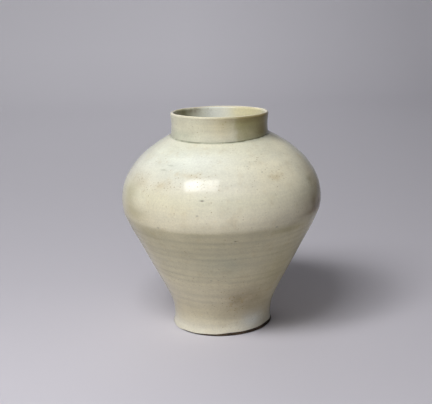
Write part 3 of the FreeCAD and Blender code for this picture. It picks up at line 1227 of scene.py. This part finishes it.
@dataclass(frozen=True)
class FiredClay:
    """Bare porcelain clay, thrown and turned, then scorched by the kiln where no glaze covers it.

    It is matt and faintly gritty, pale where it is shielded and burnt brown at the foot. On the jar's foot
    its darkest colour is also painted shade where the foot meets the floor.
    """

    name: str
    pale: str
    burnt: str
    roughness: float = 0.82
    # Real grit is 0.2 to 0.3 mm; it is drawn at 1.6 mm, as coarse as it needs to show
    grit: float = 1.6
    grit_depth: float = 0.12
    scorch: float = 14.0

    def material(self) -> bpy.types.Material:
        """Builds the clay.

        Returns:
            The material.
        """
        material, add = start_material(self.name)
        place = add("ShaderNodeTexCoord").outputs["Object"]
        scorch, grit = (
            add("ShaderNodeTexNoise", {"Vector": place}, dict(zip(NOISE, values)))
            for values in ((per_metre(self.scorch), 4.0, 0.65), (per_metre(self.grit), 3.0, 0.7))
        )
        share, level = (
            add("ShaderNodeMapRange", {"Value": source}, dict(zip(RANGE, ends)))
            for source, ends in ((scorch, (0.3, 0.7)), (grit, (0.25, 0.75, 0.8, 1.1)))
        )
        tint = add(
            "ShaderNodeMix", {0: share}, {6: linear(self.burnt), 7: linear(self.pale)}, data_type="RGBA"
        )
        shaded = add("ShaderNodeVectorMath", {0: tint, "Scale": level}, operation="SCALE")
        grains = add(
            "ShaderNodeBump", {"Height": grit}, {"Strength": 1.0, "Distance": self.grit_depth * MM}
        )
        surface = add(
            "ShaderNodeBsdfPrincipled", {"Base Color": shaded, "Normal": grains},
            {"Roughness": self.roughness}
        )
        add("ShaderNodeOutputMaterial", {"Surface": surface})
        return material


@dataclass(frozen=True)
class BackgroundPaper:
    """Uncoated background paper, rolled smooth at the mill and hung as a sweep.

    It is matt and faintly fibrous, and painted a little paler towards the back as painted light on
    the backdrop. It gives off a little light that only the camera and reflections see, more at the
    back and on the left, which stands for the light that falls unevenly on the real paper.
    """

    name: str = "background_paper"
    floor_colour: str = "#cecbd3"
    # The back is paler than the floor as painted light on the backdrop
    back_colour: str = "#dad8e1"
    glow_colour: str = "#fbf9ff"
    glow: float = 0.215
    roughness: float = 0.9
    # Real fibres are a tenth of a millimetre thick; they are drawn at 1.2 mm, or none would show
    fibre: float = 1.2

    def material(self) -> bpy.types.Material:
        """Builds the paper.

        Returns:
            The material.
        """
        material, add = start_material(self.name)
        place = add("ShaderNodeTexCoord").outputs["Object"]
        split = add("ShaderNodeSeparateXYZ", {"Vector": place})
        scale = per_metre(self.fibre)
        fibres = add("ShaderNodeTexNoise", {"Vector": place}, {"Scale": scale, "Detail": 2.0})
        far, level, rise, side = (
            add("ShaderNodeMapRange", {"Value": source}, dict(zip(RANGE, ends)))
            for source, ends in (
                (split.outputs["Y"], (0.0, 2.2)),
                (fibres, (0.0, 1.0, 0.99, 1.01)),
                (split.outputs["Y"], (0.2, 2.4, 0.0, self.glow)),
                (split.outputs["X"], (-0.1, 0.75, 1.0, 0.45)),
            )
        )
        tint = add(
            "ShaderNodeMix", {0: far}, {6: linear(self.floor_colour), 7: linear(self.back_colour)},
            data_type="RGBA"
        )
        shaded = add("ShaderNodeVectorMath", {0: tint, "Scale": level}, operation="SCALE")
        path = add("ShaderNodeLightPath")
        shown = add(
            "ShaderNodeMath", {0: path.outputs["Is Camera Ray"], 1: path.outputs["Is Glossy Ray"]},
            operation="ADD"
        )
        seen = add("ShaderNodeMath", {0: shown, 1: path.outputs["Is Transmission Ray"]}, operation="ADD")
        light = add("ShaderNodeMath", {0: rise, 1: side}, operation="MULTIPLY")
        glow = add("ShaderNodeMath", {0: light, 1: seen}, operation="MULTIPLY")
        surface = add(
            "ShaderNodeBsdfPrincipled", {"Base Color": shaded, "Emission Strength": glow},
            {"Roughness": self.roughness, "Emission Color": linear(self.glow_colour)}
        )
        add("ShaderNodeOutputMaterial", {"Surface": surface})
        return material


# Sub-assemblies


@dataclass(frozen=True)
class Thrown:
    """What the thrown pieces share: the jar's lines, relief and tints, and the two glazes."""

    sections: Sections
    hand: Hand
    firing: Firing
    azimuths: Array
    body: str
    glaze: bpy.types.Material
    inner_glaze: bpy.types.Material

    def placed(self, points: Array) -> Array:
        """Points of the piece's own upright frame as they lie on the standing jar."""
        return points

    def outer_coat(
        self, name: str, face: tuple[Array, Array, Array], back: tuple[Array, Array], edge: Array
    ) -> bpy.types.Object:
        """The glaze outside: its face sunk by the relief, and a plain back on the clay.

        Args:
            name: bowl or dome.
            face: radius and height of the smooth outside, rising, and its directions.
            back: radius and height of the clay, falling.
            edge: the level of the thin lower edge at each azimuth.

        Returns:
            The piece.
        """
        radius, height, direction = face
        smooth = self.placed(swing(self.azimuths, radius, height))
        level = smooth[..., 2]
        depth = self.hand.depth(Spots.on(self.azimuths, radius, level, smooth))
        depth = np.minimum(depth + EDGE_THINNING * ease(level - edge, 2.6, 0.0), DEEPEST_EDGE)
        upright = ease(np.abs(level - self.sections.sizes.lower_height), 0.0, 6.0)
        radius = radius - direction[..., 1] * depth
        height = height + direction[..., 0] * depth * upright
        outer = self.placed(swing(self.azimuths, radius, height))
        tint = self.firing.body_tint(Spots.on(self.azimuths, radius, outer[..., 2], outer))
        hidden = self.placed(swing(self.azimuths, back[0] + HIDDEN_GAP, back[1]))
        tints = np.concatenate([tint, np.broadcast_to(tint[:1], hidden.shape[:2] + (4,))])
        role = Role(name + "_outer_coat", name + "_outer_glaze", "outer_glaze", self.glaze)
        return shell(role, np.concatenate([outer, hidden]), tints, self.body)

    def inner_coat(self, name: str, rows: Array, tone: Tone, cloud: float) -> bpy.types.Object:
        """A coat that hardly shows, in one tone that comes and goes over the body's colour.

        Args:
            name: the piece's name without coat.
            rows: its points, once round its section.
            tone: the tone.
            cloud: the size of the clouds that the tone comes in.

        Returns:
            The piece.
        """
        share = 0.3 + 0.3 * self.firing.clouds.at(rows, cloud, 2)
        tint = toned(plain(rows.shape[:2]), share, tone)
        role = Role(name + "_coat", name + "_glaze", "inner_glaze", self.inner_glaze)
        return shell(role, rows, tint, self.body)


@dataclass(frozen=True)
class ThrownBowl(Thrown):
    """The lower half: its coats of glaze outside, inside and in the foot recess."""

    outer_rows: int = 168
    hidden_rows: int = 32
    inner_columns: int = 300
    inner_rows: int = 130
    inner_hidden_rows: int = 44
    inner_ring_pitch: float = 9.0
    recess_columns: int = 220
    roof_rows: int = 24
    corner_rows: int = 12

    def placed(self, points: Array) -> Array:
        """Points of the bowl's own frame, leant under the dome."""
        return self.sections.lean_bowl(points)

    def between(self, line: Outline, low: Array, rows: Array) -> tuple[Array, Array, Array]:
        """Places on a line of the bowl from a level of the standing jar up to the seam.

        The bowl leans, so the level of a point is its height in the bowl's own frame less a share
        of its X. The ends are worked out for each azimuth and the rows divide what lies between.

        Args:
            line: a line that rises to the seam.
            low: the lower level at each azimuth.
            rows: shares of the way up, one for each row.

        Returns:
            Radius and height in the bowl's own frame, and the line's directions.
        """
        seam = self.sections.sizes.lower_height
        turn = math.radians(self.sections.sizes.bowl_lean)
        ends = []
        for level in (low, np.full_like(low, seam)):
            radius = line.radius_at(level)
            for _ in range(ROUNDS):
                aside = radius * np.sin(np.radians(self.azimuths))
                height = seam + (level - seam + aside * math.sin(turn)) / math.cos(turn)
                radius = line.radius_at(height)
            ends.append(line.reach(height))
        places, directions = line.at(ends[0] + rows[:, None] * (ends[1] - ends[0]))
        return places[..., 0], places[..., 1], directions

    def outside(self) -> bpy.types.Object:
        """The glaze on the outside, which ends in a thin, wavering edge above the bare foot.

        Returns:
            The piece.
        """
        sizes = self.sections.sizes
        turn = np.radians(self.azimuths)
        # The glaze ends highest on the right, which widens the dark bare band there: bare clay and painted
        # shade in the gap under the foot
        edge = sizes.bare_foot_height + 2.3 * np.sin(turn + 0.3) + 0.35 * np.sin(3 * turn + 1.0)
        edge = edge + 0.25 * np.sin(7 * turn + 0.5) + 0.2 * np.sin(13 * turn)
        heights = [pit.height for pit in FRONT_PITS if pit.height < sizes.lower_height]
        thick = tuple((height / sizes.lower_height, 0.02, 1.0) for height in heights)
        rows = spread(self.outer_rows, 0.0, 1.0, ((0.0, 0.03, 2.0), (1.0, 0.05, 1.2)) + thick)
        face = self.between(self.sections.bowl_glazed, edge, rows)
        back = self.between(self.sections.bowl_clay, edge, np.linspace(1.0, 0.0, self.hidden_rows))
        return self.outer_coat("bowl", face, back[:2], edge)

    def inside(self) -> bpy.types.Object:
        """The glaze on the floor and the wall inside, with the rings of the thrower's fingers.

        Returns:
            The piece.
        """
        sizes = self.sections.sizes
        azimuth = np.linspace(-180.0, 180.0, self.inner_columns, endpoint=False)
        slope = math.tan(math.radians(sizes.bowl_lean))
        sides = []
        for line, count in (
            (self.sections.bowl_cavity, self.inner_hidden_rows),
            (self.sections.bowl_cavity_glazed, self.inner_rows),
        ):
            rim_radius, rim_height = line.points[-1]
            out, up = line.at(line.knots[-1:])[1][0]
            radius = rim_radius * np.ones_like(azimuth)
            for _ in range(ROUNDS):
                aside = radius * np.sin(np.radians(azimuth))
                past = sizes.lower_height + aside * slope - rim_height
                radius = rim_radius + past * out / up
            share = np.linspace(0.0, 1.0, count)[:, None]
            along = share * (line.knots[-1] + past / up)
            places, direction = line.at(along)
            depth = INNER_RING_DEPTH * (rings(along, azimuth, self.inner_ring_pitch) - 1.0)
            depth = depth * ease(along, 6.0, 30.0) * ease(share, 1.0, 0.97)
            if line is self.sections.bowl_cavity:
                depth = np.full_like(along, -HIDDEN_GAP)
            radius = np.maximum(places[..., 0] - direction[..., 1] * depth * ease(along, 0.0, 5.0), 0.0)
            sides.append(self.placed(swing(azimuth, radius, places[..., 1] + direction[..., 0] * depth)))
        rows = np.concatenate([sides[0], sides[1][::-1]])
        return self.inner_coat("bowl_inner", rows, Tone.CELADON, 50.0)

    def recess(self) -> bpy.types.Object:
        """The glaze under the floor and down the inside of the foot ring.

        Returns:
            The piece.
        """
        sizes = self.sections.sizes
        azimuth = np.linspace(-180.0, 180.0, self.recess_columns, endpoint=False)
        ring = sizes.foot_radius - sizes.outer_glaze - sizes.foot_ring_width
        lean = math.radians(sizes.bowl_lean)
        middle = -sizes.lower_height * math.sin(lean) - self.sections.rim_shift
        sides = []
        for inset, gap in ((sizes.recess_glaze, 0.0), (0.0, HIDDEN_GAP)):
            radius, top = ring - inset, sizes.recess_depth - inset
            corner_out = np.array([radius, sizes.recess_depth - sizes.recess_corner])
            corner_in = np.array([ring - sizes.recess_corner, top])
            flat = np.linspace(0.0, corner_in[0], self.roof_rows)
            roof = np.stack([flat, np.full(self.roof_rows, top)], axis=1)
            corner = np.array([radius, top])
            bend = self.sections.round_over(corner_in, corner, corner_out, self.corner_rows)
            line = np.concatenate([roof, bend[1:], [[radius, sizes.bare_recess_height]]]) - gap
            line[0, 0] = 0.0
            sides.append(line)
        line = np.concatenate([sides[0], sides[1][::-1]])
        rows = swing(azimuth, line[:, :1], line[:, 1:]) + np.array([middle, 0.0, 0.0])
        wave = 0.05 * self.firing.clouds.at(rows, 18.0)
        wave[0] = 0.0
        wave[len(sides[0]) :] = 0.0
        rows[..., 2] += wave * ease(np.hypot(rows[..., 0] - middle, rows[..., 1]), 0.0, 8.0)
        return self.inner_coat("foot_recess", rows, Tone.BEIGE, 30.0)


@dataclass(frozen=True)
class ThrownDome(Thrown):
    """The upper half: its coats of glaze outside and inside."""

    outer_rows: int = 158
    hidden_rows: int = 20
    inner_columns: int = 300
    inner_rows: int = 90
    inner_hidden_rows: int = 40
    inner_ring_pitch: float = 9.5

    def outside(self) -> bpy.types.Object:
        """The glaze on the outside, from the belly seam to the corner under the collar.

        Returns:
            The piece.
        """
        line, clay = self.sections.dome_glazed, self.sections.dome_clay
        end = line.knots[-1]
        seam = self.sections.sizes.lower_height
        heights = [pit.height for pit in FRONT_PITS if pit.height > seam]
        thick = tuple((float(line.reach(np.array(height))) / end, 0.012, 1.2) for height in heights)
        rows = spread(self.outer_rows, 0.0, 1.0, ((0.0, 0.05, 1.0), (1.0, 0.03, 2.0)) + thick)
        along = np.broadcast_to(rows[:, None] * end, (rows.size, self.azimuths.size))
        places, direction = line.at(along)
        back, _ = clay.at(np.linspace(1.0, 0.0, self.hidden_rows)[:, None] * clay.knots[-1])
        face = (places[..., 0], places[..., 1], direction)
        edge = np.zeros_like(self.azimuths)
        return self.outer_coat("dome", face, (back[..., 0], back[..., 1]), edge)

    def inside(self) -> bpy.types.Object:
        """The glaze on the inside, with faint rings, up to the collar's bore.

        Returns:
            The piece.
        """
        azimuth = np.linspace(-180.0, 180.0, self.inner_columns, endpoint=False)
        back_line, line = self.sections.dome_cavity, self.sections.dome_cavity_glazed
        share = np.linspace(0.0, 1.0, self.inner_hidden_rows)[:, None]
        back, _ = back_line.at(share * back_line.knots[-1])
        hidden = swing(azimuth, back[..., 0] - HIDDEN_GAP, back[..., 1])
        share = np.linspace(1.0, 0.0, self.inner_rows)[:, None]
        along = np.broadcast_to(share * line.knots[-1], (self.inner_rows, azimuth.size))
        places, direction = line.at(along)
        depth = -INNER_RING_DEPTH * rings(along, azimuth, self.inner_ring_pitch)
        depth = depth * ease(share, 1.0, 0.97) * ease(share, 0.0, 0.03)
        radius = places[..., 0] - direction[..., 1] * depth
        face = swing(azimuth, radius, places[..., 1] + direction[..., 0] * depth)
        return self.inner_coat("dome_inner", np.concatenate([hidden, face]), Tone.CELADON, 50.0)


@dataclass(frozen=True)
class ThrownCollar(Thrown):
    """The upright collar: its clay with the uneven lip, and its coats outside and in the bore."""

    clay: bpy.types.Material
    wall_rows: int = 56
    hidden_rows: int = 8
    lip_rows: int = 14

    def bottom(self, radius: float) -> Array:
        """The height in the collar's own frame at which each azimuth meets the level joint.

        Args:
            radius: the distance from the collar's axis.

        Returns:
            The height at each azimuth.
        """
        turn = self.sections.collar_turn()
        x, y, _ = swing(self.azimuths, np.array(radius), np.array(0.0)).T
        return -(turn[2, 0] * x + turn[2, 1] * y) / turn[2, 2]

    def ring(self, radius: Array, height: Array) -> Array:
        """Dips the lip, then tilts the collar and sets it on the dome.

        Args:
            radius: distances from the collar's axis.
            height: heights over its joint, in its own frame.

        Returns:
            The points on the standing jar.
        """
        share = np.clip(height / self.sections.sizes.collar_height, 0.0, 1.0)
        dipped = height - self.hand.lip_drop(self.azimuths) * share**2
        return self.sections.set_askew(swing(self.azimuths, radius, dipped))

    def lip(self, outer: float, inner: float, top: float) -> tuple[Array, Array]:
        """The rounded lip's outer half, rising, and its inner half, falling.

        Args:
            outer: the radius where it starts outside.
            inner: the radius where it ends in the bore.
            top: the height of its crown.

        Returns:
            The points of both halves on the standing jar.
        """
        start = self.sections.lip_start
        crown = np.array([(outer + inner) / 2, top])
        corner_out, corner_in = np.array([outer, top]), np.array([inner, top])
        rise = self.sections.round_over(np.array([outer, start]), corner_out, crown, self.lip_rows)
        fall = self.sections.round_over(crown, corner_in, np.array([inner, start]), self.lip_rows)
        return self.ring(rise[:, :1], rise[:, 1:]), self.ring(fall[:, :1], fall[:, 1:])

    def wall(self, line: Outline, count: int) -> tuple[Array, Array]:
        """Radius and height of rows of an outer line from the joint up to the lip.

        Args:
            line: the line.
            count: how many rows.

        Returns:
            The radius and the height, by row and azimuth.
        """
        low = line.reach(self.bottom(self.sections.sizes.collar_radius))
        high = line.reach(np.array(self.sections.lip_start))
        places, _ = line.at(low + np.linspace(0.0, 1.0, count)[:, None] * (high - low))
        return places[..., 0], places[..., 1]

    def bore(self, radius: float, count: int) -> Array:
        """Rows of the bore from the joint up to the lip.

        Args:
            radius: the bore's radius.
            count: how many rows.

        Returns:
            The points on the standing jar.
        """
        low = self.bottom(radius)
        height = low + np.linspace(0.0, 1.0, count)[:, None] * (self.sections.lip_start - low)
        return self.ring(np.full_like(height, radius), height)

    def pieces(self) -> list[bpy.types.Object]:
        """The clay collar and its two coats, which meet on the crown of the lip.

        Returns:
            The pieces.
        """
        sizes = self.sections.sizes
        outside = sizes.collar_radius + sizes.collar_flare
        bore_clay = self.sections.bore_clay_radius
        bore = bore_clay - sizes.inner_glaze
        lip_out, lip_in = self.lip(outside, bore, sizes.collar_height)
        clay_top = sizes.collar_height - sizes.lip_glaze
        clay_out, clay_in = self.lip(outside - sizes.outer_glaze, bore_clay, clay_top)
        radius, height = self.wall(self.sections.collar_glazed, self.wall_rows)
        smooth = self.ring(radius, height)
        depth = self.hand.collar_depth(Spots.on(self.azimuths, radius, height, smooth))
        outer = self.ring(radius - depth, height)
        clay_wall = self.ring(*self.wall(self.sections.collar_clay, self.hidden_rows))
        bore_face = self.bore(bore, self.wall_rows)
        bore_back = self.bore(bore_clay, self.hidden_rows)
        made = []
        for role, tint, parts in (
            (
                Role("collar_outer_coat", "collar_outer_glaze", "outer_glaze", self.glaze),
                self.firing.collar_tint,
                (outer, lip_out[1:], clay_out[::-1], clay_wall[-2::-1]),
            ),
            (
                Role("collar_inner_coat", "collar_inner_glaze", "inner_glaze", self.inner_glaze),
                self.firing.bore_tint,
                (bore_back, clay_in[-2::-1], lip_in, bore_face[-2::-1]),
            ),
            (
                Role("collar_body", "collar", "porcelain", self.clay),
                self.firing.collar_tint,
                (clay_wall, clay_out[1:], clay_in[1:], bore_back[-2::-1]),
            ),
        ):
            points = np.concatenate(parts)
            radius = np.hypot(points[..., 0] - sizes.collar_offset, points[..., 1])
            spots = Spots.on(self.azimuths, radius, points[..., 2], points)
            made.append(shell(role, points, tint(spots), self.body))
        return made


# Studio


@dataclass(frozen=True)
class Softbox:
    """A rectangular lamp that faces the jar, turned about its own way by some degrees."""

    name: str
    way: tuple[float, float, float]
    distance: float
    width: float
    height: float
    light: float
    turn: float = 0.0

    def build(self, target: Vector) -> bpy.types.Object:
        """Hangs the lamp.

        A lamp of power P at distance d lights a plain surface that faces it as much as a white
        sky of strength P / (pi d) squared does, and that strength is what light states.

        Args:
            target: the point that it faces, in metres.

        Returns:
            The lamp.
        """
        data = bpy.data.lights.new(self.name, "AREA")
        data.shape = "RECTANGLE"
        data.size = self.width
        data.size_y = self.height
        data.energy = self.light * (math.pi * self.distance) ** 2
        lamp = bpy.data.objects.new(self.name, data)
        way = Vector(self.way).normalized()
        lamp.location = target + way * self.distance
        facing = way.to_track_quat("Z", "Y").to_matrix()
        lamp.rotation_euler = (facing @ Matrix.Rotation(math.radians(self.turn), 3, "Z")).to_euler()
        bpy.context.scene.collection.objects.link(lamp)
        return lamp


LAMPS = (
    Softbox("main_softbox", (-0.322, -0.490, 0.806), 1.662, 0.98, 0.48, 0.68, 22.0),
    Softbox("main_softbox_near_end", (-0.432, -0.420, 0.798), 1.662, 0.40, 0.48, 0.18, 22.0),
    Softbox("wide_screen", (-0.28, -0.70, 0.66), 2.5, 3.0, 2.4, 0.19),
    Softbox("rear_screen", (-0.3, 0.85, 0.75), 2.2, 2.2, 1.2, 0.13),
    Softbox("top_lamp", (-0.07, 0.17, 0.983), 1.9, 0.33, 0.33, 0.012),
)


@dataclass(frozen=True)
class Studio:
    """A sweep of pale lilac-grey paper, soft lamps, an even sky and the camera."""

    sky: float = 0.04
    half_width: float = 4.2
    front: float = -4.2
    bend_start: float = 1.95
    bend_radius: float = 0.8
    wall_top: float = 2.6
    below_foot: float = 0.0002
    aim_height: float = 0.2
    eye: tuple[float, float, float] = (-4.24, -1650.0, 641.5)
    pitch: float = 15.18
    yaw: float = -0.16
    roll: float = -1.94
    lens: float = 90.98

    def paper(self) -> bpy.types.Object:
        """The sweep: a floor, a quarter circle and a wall, carried straight from side to side.

        Returns:
            The sweep, which is stage and no part of the jar.
        """
        turn = np.linspace(0.0, math.pi / 2, 33)
        floor = np.linspace(self.front, self.bend_start, 40)[:-1]
        bend_y = self.bend_start + self.bend_radius * np.sin(turn)
        bend_z = self.bend_radius * (1.0 - np.cos(turn))
        wall_z = np.linspace(self.bend_radius, self.wall_top, 12)[1:]
        along_y = np.concatenate([floor, bend_y, np.full(wall_z.size, bend_y[-1])])
        along_z = np.concatenate([np.zeros(floor.size), bend_z, wall_z]) - self.below_foot
        across = np.linspace(-self.half_width, self.half_width, 41)
        x, y = np.meshgrid(across, along_y)
        z = np.broadcast_to(along_z[:, None], x.shape)
        points = np.stack([x, y, z], axis=-1).reshape(-1, 3)
        row, column = np.meshgrid(np.arange(along_y.size - 1), np.arange(across.size - 1), indexing="ij")
        first = (row * across.size + column).ravel()
        quads = np.stack([first, first + 1, first + 1 + across.size, first + across.size], axis=1)
        mesh = bpy.data.meshes.new("paper_sweep")
        mesh.from_pydata(points.tolist(), [], quads.tolist())
        mesh.polygons.foreach_set("use_smooth", np.ones(len(quads), bool))
        sweep = bpy.data.objects.new("paper_sweep", mesh)
        bpy.context.scene.collection.objects.link(sweep)
        mesh.materials.append(BackgroundPaper().material())
        return sweep

    def lights(self) -> None:
        """The main softbox high on the left with its brighter end, three weaker lamps and a dim sky."""
        for lamp in LAMPS:
            lamp.build(Vector((0.0, 0.0, self.aim_height)))
        world = bpy.data.worlds.new("even_sky")
        world.use_nodes = True
        world.node_tree.nodes.clear()
        light = {"Color": (0.98, 0.98, 1.0, 1.0), "Strength": self.sky}
        sky = add_node(world.node_tree, "ShaderNodeBackground", None, light)
        add_node(world.node_tree, "ShaderNodeOutputWorld", {"Surface": sky})
        bpy.context.scene.world = world

    def camera(self) -> None:
        """The camera at the photograph's viewing angle, from its pitch, yaw and roll in degrees."""
        pitch, yaw, roll = (math.radians(value) for value in (self.pitch, self.yaw, self.roll))
        ahead = Vector((math.sin(yaw) * math.cos(pitch), math.cos(yaw) * math.cos(pitch), -math.sin(pitch)))
        right = Vector((math.cos(yaw), -math.sin(yaw), 0.0))
        up = right.cross(ahead)
        tilted_right = math.cos(roll) * right + math.sin(roll) * up
        tilted_up = -math.sin(roll) * right + math.cos(roll) * up
        data = bpy.data.cameras.new("view")
        data.lens = self.lens
        data.sensor_width = 36.0
        data.sensor_fit = "HORIZONTAL"
        data.clip_end = 30.0
        camera = bpy.data.objects.new("view", data)
        placed = Matrix((tilted_right, tilted_up, -ahead)).transposed().to_4x4()
        placed.translation = Vector(self.eye) * MM
        camera.matrix_world = placed
        bpy.context.scene.collection.objects.link(camera)
        bpy.context.scene.camera = camera

    def build(self) -> None:
        """Puts up the paper, the lamps and the camera."""
        self.paper()
        self.lights()
        self.camera()
        bpy.context.scene.view_settings.view_transform = "Standard"


def dress_solid(node: str, material: bpy.types.Material) -> None:
    """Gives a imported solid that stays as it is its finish."""
    frame["nodes"][node].data.materials.clear()
    frame["nodes"][node].data.materials.append(material)


def main() -> None:
    """Builds the jar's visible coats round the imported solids, then the studio."""
    logging.basicConfig(level=logging.INFO, format="%(message)s")
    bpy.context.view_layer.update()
    body = next(iter(frame["bodies"]))
    sections = Sections(JarSizes.measured())
    clouds = Clouds(SEED)
    hand = Hand(sections, clouds)
    firing = Firing(sections, clouds, hand)
    thick = tuple((pit.azimuth, 1.6, 1.5) for pit in PITS)
    azimuths = spread(COLUMNS + 1, -180.0, 180.0, thick)[:-1]
    outer = ClearGlaze("celadon_tinged_white_glaze").material()
    inner = ClearGlaze("thin_inner_glaze", roughness=0.14, cloud=34.0).material()
    # The bare foot's clay is dark nearly to black: burnt clay and painted shade of the contact shadow under
    # the foot
    porcelain = FiredClay("fired_porcelain_clay_and_foot_shade", "#5c4a36", "#241b14").material()
    slip = FiredClay("fired_luting_slip", "#cfc4ab", "#b5a585", grit_depth=0.05).material()
    bowl = ThrownBowl(sections, hand, firing, azimuths, body, outer, inner)
    dome = ThrownDome(sections, hand, firing, azimuths, body, outer, inner)
    collar = ThrownCollar(sections, hand, firing, azimuths, body, outer, inner, porcelain)
    pieces = [bowl.outside(), bowl.inside(), bowl.recess(), dome.outside(), dome.inside()]
    pieces += collar.pieces()
    for piece in pieces:
        LOG.info("%s: %d faces", piece.name, len(piece.data.polygons))
    for node in ("lower_bowl", "upper_dome"):
        dress_solid(node, porcelain)
    for node in ("belly_luting_slip", "collar_luting_slip"):
        dress_solid(node, slip)
    Studio().build()


if __name__ == "__main__":
    main()
